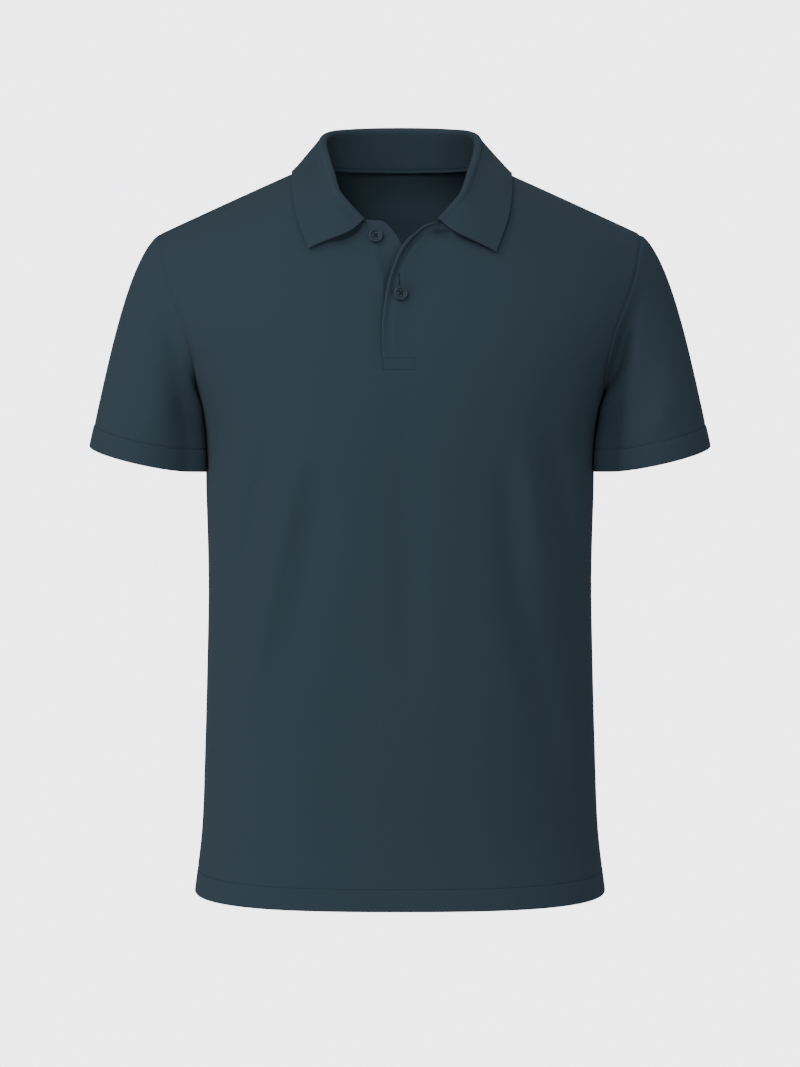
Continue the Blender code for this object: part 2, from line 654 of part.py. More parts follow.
def sleeve_points(loop, normal):
    """The sleeve's outer points: rows from the armhole down, columns round it."""
    place = np.arange(len(loop))
    share = 1 - np.abs(place - ARM_ROWS) / ARM_ROWS
    turn = sleeve_turns()
    end, end_way = cuff_point(turn, CUFF_DEPTH, 0.0), sleeve_way(turn)
    tangent = unit(np.roll(loop, -1, axis=0) - np.roll(loop, 1, axis=0))
    leaving = unit(np.cross(normal, tangent))
    leaving *= np.where(leaving[:, :1] < 0, -1.0, 1.0)
    weight = (SLEEVE_LIFT * share)[:, None]
    start_way = unit(leaving * weight + np.array([0.16, 0, -1.0]) * (1 - weight))
    chord = np.linalg.norm(end - loop, axis=1, keepdims=True)
    t = np.linspace(0, 1, SLEEVE_ROWS + 1)[:, None, None]
    h00, h10 = 2 * t**3 - 3 * t**2 + 1, t**3 - 2 * t**2 + t
    h01, h11 = 3 * t**2 - 2 * t**3, t**3 - t**2
    return h00 * loop + h10 * start_way * chord * SLEEVE_START + h01 * end + h11 * end_way * chord * SLEEVE_END


def ring_normals(points):
    """Outward directions of a tube of points that runs downwards."""
    around = np.roll(points, -1, axis=1) - np.roll(points, 1, axis=1)
    normals = unit(np.cross(np.gradient(points, axis=0), around))
    outward = points - points.mean(axis=1, keepdims=True)
    return normals * (1.0 if (outward * normals).sum() > 0 else -1.0)


def find_armhole():
    """The armhole with the wall directions that the body and the sleeve share along it."""
    loop, body = armhole_loop()
    sleeve = ring_normals(sleeve_points(loop, body))[0]
    height = loop[:, 2:] - loop[:, 2].min()
    down = np.array([0, 0, -1.0]) * np.exp(-((height / 0.035) ** 2))
    shared = unit(body + sleeve + down)
    shared[0, 1] = 0
    shared[ARM_ROWS] = body[ARM_ROWS]
    shared = unit(shared)
    tangent = unit(np.roll(loop, -1, axis=0) - np.roll(loop, 1, axis=0))
    off = unit(np.cross(tangent, shared))
    off *= np.where(off[:, :1] > 0, -1.0, 1.0)
    return Armhole(loop, body, shared, off)


def build_sleeve(side):
    """A sleeve and its knitted cuff. side is 1 for the wearer's left."""
    name = "left" if side > 0 else "right"
    mirror = np.array([side, 1, 1])
    points = sleeve_points(ARMHOLE.points, ARMHOLE.body)
    turn = sleeve_turns()
    way = sleeve_way(turn)
    normals = ring_normals(points)
    normals[0] = ARMHOLE.normals
    normals[-1] = unit(normals[-1] - way * (normals[-1] * way).sum(-1, keepdims=True))
    outer = points.copy()
    outer[0] -= ARMHOLE.bodyward * SEAM_GAP / 2
    outer[-1] -= way * SEAM_GAP / 2
    wall(f"sleeve_{name}", outer * mirror, (outer - normals * CLOTH) * mirror, "pique", ring=True)

    rows = np.linspace(CUFF_DEPTH - SEAM_GAP / 2, 0, CUFF_ROWS + 1)
    band = np.array([cuff_point(turn, up, CUFF_STEP) for up in rows])
    inside = band - normals[-1] * RIB
    wall(f"cuff_{name}", band * mirror, inside * mirror, "rib", ring=True)


# ---------------------------------------------------------------- the neckline and the collar
# Along the neckline from its end on the wearer's left, round the back, to its end on the wearer's right.
Neckline = namedtuple("Neckline", "points normals bodyward crest edge")


def collar_table(steps):
    """The crest and the free edge at each station. steps is 0 at the middle of the back and +-2 at the ends."""
    rows = np.array([spline(COLLAR[1 if step > 0 else -1], abs(step) * 4) for step in steps])
    return rows[:, :3], rows[:, 3:]


def find_neckline():
    strip, curl = facing_strip()
    fold = body_at(strip[-1], -1)
    fold[0][:, 1] -= curl[-1]
    front_left = body_at(neck_curve(1)[::-1], -1)
    back = body_at(back_neck_curve()[::-1], 1)
    front_right = body_at(neck_curve(-1), -1)
    points, body = (np.vstack([fold[k], front_left[k][1:], back[k][1:], front_right[k][1:]]) for k in (0, 1))
    along = np.concatenate([[0], np.cumsum(np.linalg.norm(np.diff(points, axis=0), axis=1))])
    first = len(FACING_SHARES) - 1 + NECK_COLUMNS
    high = [along[first], along[first + BACK_NECK_COLUMNS]]
    knots = [0, high[0], (high[0] + high[1]) / 2, high[1], along[-1]]
    crest, edge = collar_table(np.interp(along, knots, [2, 1, 0, -1, -2]))
    tangent = unit(np.gradient(points, axis=0))
    rise = crest - points
    stand = unit(np.cross(tangent, rise))
    stand *= np.where((stand * points).sum(-1, keepdims=True) < 0, -1.0, 1.0)
    normals = unit(body + stand)
    for end, near in ((0, 2), (-1, -2)):
        normals[end] = unit(normals[end] * 0.25 + normals[near] * 0.75)
    normals[1] = unit(normals[0] + normals[2])
    bodyward = unit(np.cross(tangent, normals))
    bodyward *= np.where((bodyward * rise).sum(-1, keepdims=True) > 0, -1.0, 1.0)
    return Neckline(points, normals, bodyward, crest, edge)


def body_at(places, face):
    return body_point(places[:, 0], places[:, 1], face), body_normal(places[:, 0], places[:, 1], face)


def halved(rows):
    """Rows with one more halfway between each two."""
    both = np.repeat(rows, 2, axis=0)[:-1]
    both[1::2] = (rows[1:] + rows[:-1]) / 2
    return both


def between(rows):
    """Rows with one more between each two, on a smooth curve through them."""
    return spline(rows, np.arange(2 * len(rows) - 1) / 2)


def collar_middle(line):
    """The middle of the collar's wall: rows from the seam up the stand, over the fold and down the fall."""
    line = Neckline(*(halved(rows) for rows in line[:3]), between(line.crest), between(line.edge))
    tangent = unit(np.gradient(line.crest, axis=0))
    level = np.cross(tangent, (0, 0, 1.0))
    level = unit(level * np.where((level * (line.edge - line.crest)).sum(-1, keepdims=True) < 0, -1.0, 1.0))
    above = np.cross(level, tangent)
    above = unit(above * np.where(above[:, 2:] < 0, -1.0, 1.0))
    clear = SEAM_GAP + END_CLEAR * np.linspace(-1, 1, len(line.points))[:, None] ** 8
    foot = line.points - line.bodyward * clear - line.normals * RIB / 2
    start = line.crest - level * ROLL - above * ROLL
    rows = [foot + (start - foot) * t for t in np.linspace(0, 1, STAND_ROWS + 1)[:-1]]
    for turn in np.radians([180, 135, 90, 45, 0]):
        rows.append(line.crest + level * ROLL * math.cos(turn) + above * ROLL * (math.sin(turn) - 1))
    last = rows[-1]
    chord = line.edge - last
    length = np.linalg.norm(chord, axis=1, keepdims=True)
    out = unit(level * 0.55 - above * 0.78)
    swell = unit(np.cross(tangent, chord))
    swell *= np.where(swell[:, 2:] < 0, -1.0, 1.0)
    for t in np.linspace(0, 1, FALL_ROWS + 1)[1:]:
        h10, h01, h11 = t**3 - 2 * t**2 + t, 3 * t**2 - 2 * t**3, t**3 - t**2
        curve = last + h10 * out * length + h01 * chord + h11 * unit(chord) * length
        rows.append(curve + swell * BELLY * math.sin(math.pi * t))
    return np.array(rows)


def build_collar():
    middle = collar_middle(NECKLINE)
    normals = unit(np.cross(np.gradient(middle, axis=0), np.gradient(middle, axis=1)))
    seam = halved(NECKLINE.normals)
    if (normals[1] * seam).sum() < 0:
        normals = -normals
    normals[0] = seam
    wall("collar", middle + normals * RIB / 2, middle - normals * RIB / 2, "rib")


# ---------------------------------------------------------------- plackets, tape and buttons
def build_facing(strip):
    """The facing behind the folded edge, which follows the front's inner side."""
    points, normals = strip
    points = points.copy()
    points[0] += (points[1] - points[0]) * FACING_FOOT
    points[-1] += (points[-2] - points[-1]) * FACING_TOP
    near, far = points[:, :1], points[:, 1:2]
    points[:, :1] = near + unit(far - near) * FACING_BACK
    outer = points - normals * (CLOTH + 1.5 * SEAM_GAP)
    wall("placket_facing", outer, outer - normals * FACING, "pique")


def build_placket_under():
    rows = table_rows(UNDER_PLACKET, ARM_ROWS)[:, None]
    s = np.array([0, 0.35, 0.7, 1])[None, :]
    x = rows[..., 0] * (1 - s) + rows[..., 2] * s
    z = rows[..., 1] * (1 - s) + rows[..., 3] * s
    off = rows[..., 5] + (rows[..., 4] - rows[..., 5]) * (1 - s) ** 2.5
    points = on_front(x, z, off)[0]
    line = body_at(under_line()[SIDE_ROWS:], -1)
    points[:, 0] = line[0] + line[1] * rows[:, 0, 4:5]
    normals = sheet_normals(points)
    normals *= np.where(normals[..., 1:2] > 0, -1.0, 1.0)
    normals[:, 0] = line[1]
    points[:, 0] += aside(line[0], line[1], points[:, 1] - points[:, 0]) * 1.5 * SEAM_GAP
    points[0, :, 2] += SEAM_GAP
    points[-1, 0] += NECKLINE.bodyward[-1] * 2 * SEAM_GAP
    wall("placket_under", points, points - normals * PLACKET, "pique")
    return points, normals


def sheet_normals(points):
    return unit(np.cross(np.gradient(points, axis=0), np.gradient(points, axis=1)))


def build_tape():
    """The strip that covers the seam inside the back neck."""
    first = SHOULDER_COLUMNS + 2
    columns = slice(first, first + BACK_NECK_COLUMNS - 3)
    top, below = BACK_INSIDE[-1, columns], BACK_INSIDE[-2, columns]
    normals = BACK_NORMALS[-2, columns]
    step = unit(below - top)
    rows = [top + step * down - normals * TAPE_CLEAR for down in (TAPE_FROM, TAPE_FROM + TAPE_WIDTH)]
    outer = np.array(rows)
    wall("neck_tape", outer, outer - normals * TAPE, "tape")


def build_button(name, placket, x, z):
    """A sewn button with four holes, seated on a placket."""
    points, normals = placket
    near = np.argmin((points[..., 0] - x) ** 2 + (points[..., 2] - z) ** 2)
    i, j = np.unravel_index(near, points.shape[:2])
    up = normals[i, j]
    y = points[i, j, 1] - (up[0] * (x - points[i, j, 0]) + up[2] * (z - points[i, j, 2])) / up[1]
    base = np.array([x, y, z]) + up * (SEAM_GAP + BUTTON_CLEAR)
    side = unit(np.cross((0, 0, 1.0), up))
    seat = Matrix.Translation(base) @ Matrix(np.stack([side, np.cross(up, side), up], axis=1)).to_4x4()

    mesh = bmesh.new()
    profile = [mesh.verts.new((radius, 0, height)) for radius, height in BUTTON_PROFILE]
    for high, low in zip(profile, profile[1:]):
        mesh.edges.new((high, low))
    button = add_object(name, mesh, "button")
    button.matrix_world = seat
    turned = button.modifiers.new("turned", "SCREW")
    turned.steps = turned.render_steps = BUTTON_SIDES
    turned.use_merge_vertices = True
    turned.merge_threshold = 1e-5
    cut = button.modifiers.new("holes", "BOOLEAN")
    cut.operation = "DIFFERENCE"
    cut.object = hole_cutter(name + "_holes", seat)


def hole_cutter(name, seat):
    """Four rods where a button's thread holes go."""
    mesh = bmesh.new()
    for a, b in ((1, 1), (1, -1), (-1, 1), (-1, -1)):
        bmesh.ops.create_cone(
            mesh,
            cap_ends=True,
            segments=HOLE_SIDES,
            radius1=BUTTON_HOLE / 2,
            radius2=BUTTON_HOLE / 2,
            depth=HOLE_LENGTH,
            matrix=Matrix.Translation((a * BUTTON_HOLE_SPREAD, b * BUTTON_HOLE_SPREAD, 0)),
        )
    data = bpy.data.meshes.new(name)
    mesh.to_mesh(data)
    mesh.free()
    cutter = bpy.data.objects.new(name, data)
    cutter.matrix_world = seat
    cutter.hide_render = True
    cutter.display_type = "WIRE"
    CUTTERS.objects.link(cutter)
    return cutter


# ---------------------------------------------------------------- main
def clear_scene():
    for thing in list(bpy.data.objects):
        bpy.data.objects.remove(thing)


clear_scene()
SHIRT = bpy.data.collections.new("polo_shirt")
bpy.context.scene.collection.children.link(SHIRT)
MATERIALS = {slot: make_material(slot) for slot in COLOURS}
CUTTERS = bpy.data.collections.new("cutters")
CUTTERS.hide_render = True
bpy.context.scene.collection.children.link(CUTTERS)
ARMHOLE = find_armhole()
NECKLINE = find_neckline()
FOLD_STRIP = build_front()
BACK_INSIDE, BACK_NORMALS = build_back()
for wearer_side in (-1, 1):
    build_sleeve(wearer_side)
build_collar()
build_facing(FOLD_STRIP)
build_button("button_lower", FOLD_STRIP, *BUTTON_LOWER)
build_button("button_top", build_placket_under(), *BUTTON_TOP)
build_tape()
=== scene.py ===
# %% [markdown]
# # A polo shirt, cell by cell
#
# This is a short-sleeved knitted polo: two body panels, two sleeves with knitted cuffs, a flat-knit
# collar, an open placket with two buttons and a strip of tape inside the back neck. It is filled out as
# if worn, with nobody inside.
#
# The solid model of the same shirt is loaded first. It fixes every size and place, and stays in the file
# as a plain stand-in for collisions. Each cell then makes one piece of the real garment on top of it: a
# thin shell of cloth with its creases, rolled edges, seams and stitches, and a finish made of nodes.

# %% Load the solid model
import json
import math
from collections import namedtuple

import bmesh
import bpy
import numpy as np
from mathutils import Matrix, Vector

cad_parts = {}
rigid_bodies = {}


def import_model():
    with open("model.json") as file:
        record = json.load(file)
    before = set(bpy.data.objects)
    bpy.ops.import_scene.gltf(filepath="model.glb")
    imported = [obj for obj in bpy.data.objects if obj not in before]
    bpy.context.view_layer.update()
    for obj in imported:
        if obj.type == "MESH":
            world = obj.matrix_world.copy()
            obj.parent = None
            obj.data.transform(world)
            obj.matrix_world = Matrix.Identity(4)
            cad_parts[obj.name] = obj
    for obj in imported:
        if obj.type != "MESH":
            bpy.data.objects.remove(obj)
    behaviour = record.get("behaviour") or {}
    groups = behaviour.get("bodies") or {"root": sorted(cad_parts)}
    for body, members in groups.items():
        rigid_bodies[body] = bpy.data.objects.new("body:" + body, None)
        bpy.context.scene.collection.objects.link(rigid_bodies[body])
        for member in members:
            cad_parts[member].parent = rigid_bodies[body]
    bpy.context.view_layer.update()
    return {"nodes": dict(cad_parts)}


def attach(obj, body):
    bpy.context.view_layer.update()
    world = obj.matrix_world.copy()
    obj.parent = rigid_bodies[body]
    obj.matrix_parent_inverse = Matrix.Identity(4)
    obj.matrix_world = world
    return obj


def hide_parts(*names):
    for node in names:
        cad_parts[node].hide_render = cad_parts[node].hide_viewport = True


for thing in list(bpy.data.objects):
    bpy.data.objects.remove(thing)
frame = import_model()
print("solid pieces:", ", ".join(sorted(frame["nodes"])))

# %% [markdown]
# ## The camera
#
# A camera, a lamp and a shirt all need aiming. Two helpers do it: one gives a place round the shirt by
# its direction and distance, and the other turns a thing there to look at the middle. The shirt is seen
# from straight in front and a little above, from far off, so its outline hardly tapers.

# %% Aim the camera at the shirt
AIM = Vector((0, 0, -0.355))
CAMERA_FAR = 4.5
CAMERA_RISE = math.radians(7)
CAMERA_LENS = 158.8


def around(azimuth, rise, far):
    """A place round the shirt. Azimuth 0 is in front, and 90 degrees is at the wearer's left."""
    level = math.cos(rise) * far
    return AIM + Vector((math.sin(azimuth) * level, -math.cos(azimuth) * level, math.sin(rise) * far))


def aimed(thing, azimuth, rise, far, at=AIM):
    """Links an object that looks at the middle of the shirt, or at another place."""
    thing.location = around(azimuth, rise, far)
    thing.rotation_euler = (at - thing.location).to_track_quat("-Z", "Y").to_euler()
    bpy.context.scene.collection.objects.link(thing)
    return thing


camera = bpy.data.objects.new("camera", bpy.data.cameras.new("camera"))
aimed(camera, 0, CAMERA_RISE, CAMERA_FAR)
camera.data.lens = CAMERA_LENS
bpy.context.scene.camera = camera
print("camera at", tuple(round(v, 3) for v in camera.location))

# %% [markdown]
# ## The lamps
#
# Soft lamps suit cloth, since a hard one would draw every crease as a line. Two lamps on the wearer's
# right, one high and one low, model the form. One on the left and a smaller one in front open the shade,
# and a faint one behind lifts the back. A soft lamp hardly reaches inside the neck, so a narrow beam is
# sent in there to show the inside of the collar.

# %% Soft lamps round the shirt
Lamp = namedtuple("Lamp", "name azimuth rise far size watts colour")
LAMPS = [
    Lamp("key_high", -50, 48, 3.0, 1.2, 26, (1.0, 0.97, 0.95)),
    Lamp("key_low", -62, -12, 3.0, 1.6, 32, (1.0, 0.97, 0.95)),
    Lamp("side", 40, 20, 2.8, 1.6, 17, (0.98, 0.98, 1.0)),
    Lamp("front", -16, 34, 3.0, 0.6, 25, (0.98, 0.99, 1.0)),
    Lamp("back", 160, 38, 2.8, 1.6, 4, (0.97, 0.98, 1.0)),
]
for lamp in LAMPS:
    light = bpy.data.lights.new("lamp_" + lamp.name, "AREA")
    light.shape = "DISK"
    light.size = lamp.size
    light.energy = lamp.watts
    light.color = lamp.colour
    turn, rise = math.radians(lamp.azimuth), math.radians(lamp.rise)
    aimed(bpy.data.objects.new(light.name, light), turn, rise, lamp.far)
print("soft lamps:", ", ".join(lamp.name for lamp in LAMPS))

# %% A narrow beam into the neck
NECK_INSIDE = Vector((0.010, 0.070, -0.045))
BEAM_TURN, BEAM_RISE, BEAM_FAR = math.radians(-10), math.radians(42), 2.8
BEAM_WATTS, BEAM_ANGLE, BEAM_EDGE = 140, math.radians(2.9), 0.8
BEAM_COLOUR = (0.86, 0.95, 1.0)
BEAM_SOFT = 0.03

beam = bpy.data.lights.new("lamp_neck", "SPOT")
beam.energy = BEAM_WATTS
beam.color = BEAM_COLOUR
beam.spot_size = BEAM_ANGLE
beam.spot_blend = BEAM_EDGE
beam.shadow_soft_size = BEAM_SOFT
aimed(bpy.data.objects.new(beam.name, beam), BEAM_TURN, BEAM_RISE, BEAM_FAR, NECK_INSIDE)
print("beam: %.1f degrees wide at %.1f m" % (math.degrees(BEAM_ANGLE), BEAM_FAR))

# %% [markdown]
# ## The room and the floor
#
# The studio is a pale room. Its world has two backgrounds. One gives the even light that falls on the
# shirt; the other is what is seen behind it, and a Light Path node picks that one for rays that come
# straight from the camera. So the wall can be brighter than the light it gives. The floor is a wide pale
# disc where the wearer's feet would be.

# %% The room
ROOM_LIGHT = (0.86, 0.92, 1.0, 1)
ROOM_STRENGTH = 0.36
WALL_COLOUR = (4.05, 4.05, 4.30, 1)  # above 1, so the wall shows as plain white

world = bpy.data.worlds.new("room")
world.use_nodes = True
bpy.context.scene.world = world
nodes, links = world.node_tree.nodes, world.node_tree.links
room, wall = nodes["Background"], nodes.new("ShaderNodeBackground")
room.inputs["Color"].default_value = ROOM_LIGHT
room.inputs["Strength"].default_value = ROOM_STRENGTH
wall.inputs["Color"].default_value = WALL_COLOUR
seen = nodes.new("ShaderNodeLightPath")
choice = nodes.new("ShaderNodeMixShader")
links.new(seen.outputs["Is Camera Ray"], choice.inputs["Fac"])
links.new(room.outputs[0], choice.inputs[1])
links.new(wall.outputs[0], choice.inputs[2])
links.new(choice.outputs[0], nodes["World Output"].inputs["Surface"])
print("world:", world.name, "with", len(nodes), "nodes")

# %% The floor
FLOOR_Z = -1.48
FLOOR_RADIUS, FLOOR_CORNERS = 2.4, 96
FLOOR_COLOUR = (0.78, 0.78, 0.79, 1)
FLOOR_ROUGHNESS = 0.9

bpy.ops.mesh.primitive_circle_add(
    vertices=FLOOR_CORNERS, radius=FLOOR_RADIUS, fill_type="NGON", location=(0, 0, FLOOR_Z)
)
floor = bpy.context.object
floor.name = "floor"
paint = bpy.data.materials.new("floor_paint")
paint.use_nodes = True
paint_shader = paint.node_tree.nodes["Principled BSDF"]
paint_shader.inputs["Base Color"].default_value = FLOOR_COLOUR
paint_shader.inputs["Roughness"].default_value = FLOOR_ROUGHNESS
floor.data.materials.append(paint)
print("floor at %.2f m, %.1f m across" % (FLOOR_Z, 2 * FLOOR_RADIUS))

# %% [markdown]
# ## Curves and smooth steps
#
# A garment is soft everywhere, so its tables are read through smooth curves. A Catmull-Rom curve passes
# through every row of a table and needs no handles, which makes it easy to tune: change one row, and
# only its neighbours follow. The other helpers fade a form in or out, and measure a curve.


# %% Small helpers
def unit(vectors):
    """The vectors with length 1."""
    return vectors / np.maximum(np.linalg.norm(vectors, axis=-1, keepdims=True), 1e-12)


def smooth(t):
    """0 to 1 with level ends."""
    t = np.clip(t, 0.0, 1.0)
    return t * t * (3 - 2 * t)


def bell(distance, width):
    """1 at distance 0, fading out softly."""
    return np.exp(-((distance / width) ** 2))


print("smooth at 0, 0.25, 0.5 and 1:", smooth(np.array([0, 0.25, 0.5, 1])).round(3))


# %% Curves
def spline(rows, at):
    """A Catmull-Rom curve through evenly numbered rows, read at positions 0 to len(rows) - 1."""
    rows = np.asarray(rows, float)
    padded = np.concatenate([2 * rows[:1] - rows[1:2], rows, 2 * rows[-1:] - rows[-2:-1]])
    at = np.clip(np.asarray(at, float), 0.0, len(rows) - 1.0)
    step = np.minimum(at.astype(int), len(rows) - 2)
    t = (at - step).reshape(at.shape + (1,) * (rows.ndim - 1))
    a, b, c, d = (padded[step + k] for k in range(4))
    bend = (2 * a - 5 * b + 4 * c - d) * t**2
    return 0.5 * (2 * b + (c - a) * t + bend + (3 * b - a - 3 * c + d) * t**3)


def distances(points):
    """How far along a curve each of its points is."""
    return np.concatenate([[0], np.cumsum(np.linalg.norm(np.diff(points, axis=0), axis=1))])


def spaced(points, count):
    """A curve's points again, count + 1 of them at even distances."""
    along = distances(points)
    at = np.linspace(0, along[-1], count + 1)
    return np.stack([np.interp(at, along, points[:, k]) for k in range(points.shape[1])], axis=1)


print("a curve through 0, 1, 0, read halfway:", spline([0, 1, 0], [0.5, 1.0, 1.5]))

# %% [markdown]
# ## The body's form
#
# The torso is described by level rings, like the hoops of a dress stand. Each ring has a half width, a
# depth to the front and to the back, and a squareness that turns a plain ellipse into the fuller section
# of a chest. Ring 0 is the shoulder ridge. A place on the shirt is then two numbers: an angle round the
# ring, and a ring number down the body.

# %% The rings
Ring = namedtuple("Ring", "drop slope half_width front back square")
RINGS = [
    Ring(0.000, 1.00, 0.2570, 0.000, 0.000, 2.30),
    Ring(0.007, 1.00, 0.2560, 0.034, 0.036, 2.30),
    Ring(0.026, 0.95, 0.2530, 0.064, 0.067, 2.30),
    Ring(0.058, 0.80, 0.2475, 0.088, 0.090, 2.30),
    Ring(0.102, 0.55, 0.2370, 0.104, 0.106, 2.32),
    Ring(0.150, 0.30, 0.2200, 0.115, 0.116, 2.34),
    Ring(0.198, 0.12, 0.2010, 0.121, 0.120, 2.36),
    Ring(0.250, 0.03, 0.1872, 0.124, 0.119, 2.38),
    Ring(0.320, 0.00, 0.1850, 0.123, 0.115, 2.40),
    Ring(0.400, 0.00, 0.1834, 0.121, 0.110, 2.40),
    Ring(0.480, 0.00, 0.1850, 0.119, 0.108, 2.40),
    Ring(0.560, 0.00, 0.1874, 0.119, 0.111, 2.40),
    Ring(0.640, 0.00, 0.1908, 0.121, 0.116, 2.44),
    Ring(0.6992, 0.00, 0.1978, 0.127, 0.122, 2.80),
]
HEM_RING = len(RINGS) - 1
print("rings:", len(RINGS), "over %.3f m" % RINGS[-1].drop)


# %% Read the rings at any height
def ring_values(ring):
    """Drop, slope, half width, front, back and squareness at any ring number."""
    table = np.array(RINGS, float)
    values = spline(np.vstack([table[1] * (1, 1, 1, -1, -1, 1), table]), np.asarray(ring) + 1.0)
    return [values[..., k] for k in range(6)]


NECK_HALF, SHOULDER_HALF = 0.081, 0.2235  # half the neck's width, and the shoulder point
SHOULDER_SLOPE = 0.463
RIDGE_ROUND = 0.030  # the ridge is rounded over this width at the middle
RIDGE_LEVEL_AT = 0.075  # and has height 0 here


def ridge_height(x):
    """The shoulder ridge, seen from the front."""
    return -SHOULDER_SLOPE * (np.hypot(x, RIDGE_ROUND) - math.hypot(RIDGE_LEVEL_AT, RIDGE_ROUND))


fall = ridge_height(NECK_HALF) - ridge_height(SHOULDER_HALF)
print("the ridge falls %.3f m from neck to arm" % fall)

# %% [markdown]
# ## Creases
#
# Knitted cloth on a filled-out body shows a few long soft folds that fan down from the armholes, small
# drags under the arms and the collar, and a slight wave above the hem. Each is a row in a table: where
# it starts, where it ends, how wide it is and how far it lifts the cloth, negative for a trough. They
# differ in length and depth, because even folds look machined. A sculpted mesh would do too, but rows
# can be tuned one by one.

# %% The folds of the front
Fold = namedtuple("Fold", "x0 z0 x1 z1 width height")
FRONT_FOLDS = [
    Fold(-0.0925, -0.254, -0.1530, -0.537, 0.0125, 0.0078),
    Fold(-0.1225, -0.250, -0.1730, -0.500, 0.0105, -0.0084),
    Fold(-0.0710, -0.285, -0.1050, -0.500, 0.0140, -0.0030),
    Fold(0.1390, -0.236, 0.1800, -0.430, 0.0115, -0.0098),
    Fold(0.1150, -0.250, 0.1480, -0.440, 0.0110, 0.0052),
    Fold(0.0950, -0.280, 0.1120, -0.435, 0.0110, -0.0040),
    Fold(0.1080, -0.395, 0.1580, -0.590, 0.0125, -0.0060),
    Fold(0.0060, -0.200, 0.0090, -0.500, 0.0150, -0.0020),
]
FRONT_CREASES = [
    Fold(-0.158, -0.190, -0.118, -0.262, 0.008, -0.0012),
    Fold(-0.166, -0.214, -0.140, -0.300, 0.007, 0.0009),
    Fold(0.160, -0.186, 0.122, -0.250, 0.008, -0.0013),
    Fold(0.168, -0.216, 0.146, -0.290, 0.007, 0.0009),
    Fold(-0.060, -0.560, -0.074, -0.700, 0.020, -0.0012),
    Fold(0.052, -0.585, 0.060, -0.705, 0.022, -0.0010),
    Fold(-0.128, -0.590, -0.140, -0.705, 0.018, 0.0012),
    Fold(0.126, -0.575, 0.142, -0.700, 0.018, 0.0011),
    Fold(-0.060, -0.070, -0.036, -0.056, 0.0036, -0.0045),
    Fold(0.030, -0.0625, 0.050, -0.0645, 0.0032, -0.0045),
]
print("front:", len(FRONT_FOLDS), "long folds and", len(FRONT_CREASES), "small creases")

# %% The folds of the back
BACK_FOLDS = [
    Fold(-0.110, -0.230, -0.168, -0.480, 0.014, -0.0040),
    Fold(-0.090, -0.260, -0.140, -0.520, 0.014, 0.0035),
    Fold(0.105, -0.240, 0.160, -0.500, 0.014, -0.0040),
    Fold(0.085, -0.270, 0.135, -0.540, 0.014, 0.0035),
    Fold(0.000, -0.330, 0.012, -0.560, 0.022, -0.0040),
]
BACK_CREASES = [
    Fold(-0.162, -0.182, -0.112, -0.240, 0.009, -0.0014),
    Fold(0.158, -0.178, 0.110, -0.244, 0.009, -0.0013),
    Fold(-0.075, -0.060, 0.070, -0.056, 0.012, -0.0009),
    Fold(-0.055, -0.575, -0.064, -0.700, 0.020, -0.0012),
    Fold(0.078, -0.590, 0.084, -0.705, 0.022, 0.0011),
]
print("back:", len(BACK_FOLDS), "long folds and", len(BACK_CREASES), "small creases")

# %% Lift the cloth at the folds
FOLD_REACH, FOLD_ENDS = 0.42, 4  # a fold fades out past this share each way, with ends this blunt


def fold_height(folds, x, z):
    """How far the folds lift the cloth at these places."""
    lift = np.zeros(np.broadcast(x, z).shape)
    for fold in folds:
        run = np.array([fold.x1 - fold.x0, fold.z1 - fold.z0])
        along = ((x - fold.x0) * run[0] + (z - fold.z0) * run[1]) / (run @ run)
        across = ((x - fold.x0) * run[1] - (z - fold.z0) * run[0]) / math.hypot(*run)
        fade = np.exp(-(((along - 0.5) / FOLD_REACH) ** FOLD_ENDS))
        lift += fold.height * fade * bell(across, fold.width)
    return lift


halfway = [fold_height([fold], (fold.x0 + fold.x1) / 2, (fold.z0 + fold.z1) / 2) for fold in FRONT_FOLDS]
print("front folds, mm:", (np.array(halfway) * 1000).round(1))

# %% [markdown]
# ## Points and directions on the body
#
# A ring is a superellipse: the sine and cosine of its angle are raised to a power, and a higher
# squareness pushes the corners out. The folds then lift each point forwards or back. The outward
# direction at a point is found from its neighbours on either side, which works for any form and needs no
# formula of its own.

# %% Points of the body's surface
SIDE_Y = 0.008  # the side seams and the shoulder ridge lie in this plane
THROAT_HOLLOW, THROAT_WIDTH = 0.012, 0.060  # the body is a little hollow below the throat
THROAT_TOP, THROAT_TOP_FADE = 0.5, 2.0  # from this ring on, over this many rings
THROAT_LOW, THROAT_LOW_FADE = 6.5, 4.0  # and it is gone at this ring


def body_point(angle, ring, face, creases=()):
    """A point of the outer side. angle is 0 at the middle and +-90 degrees at the sides.

    face is -1 for the front and 1 for the back.
    """
    drop, slope, half, front, back, square = ring_values(ring)
    power = 2.0 / square
    x = half * np.sign(angle) * np.abs(np.sin(angle)) ** power
    z = slope * ridge_height(x) - drop
    depth = (front if face < 0 else back) * np.maximum(np.cos(angle), 0.0) ** power
    if face < 0:
        hollow = bell(x, THROAT_WIDTH) * smooth((ring - THROAT_TOP) / THROAT_TOP_FADE)
        depth = depth - THROAT_HOLLOW * (hollow * smooth((THROAT_LOW - ring) / THROAT_LOW_FADE))
    folds = (FRONT_FOLDS if face < 0 else BACK_FOLDS) + list(creases)
    lift = fold_height(folds, x, z) * np.maximum(np.cos(angle), 0.0)
    return np.stack([x, SIDE_Y + face * (depth + lift), z], axis=-1)


chest = distances(body_point(np.linspace(-1.57, 1.57, 90), 7.0, -1))[-1]
print("chest round the outside: %.2f m" % (2 * chest))


# %% Directions and places on the body
NORMAL_STEP = 0.004  # to each side, in radians and in rings
HALVINGS = 40  # a ring is searched for by halving the span that it lies in


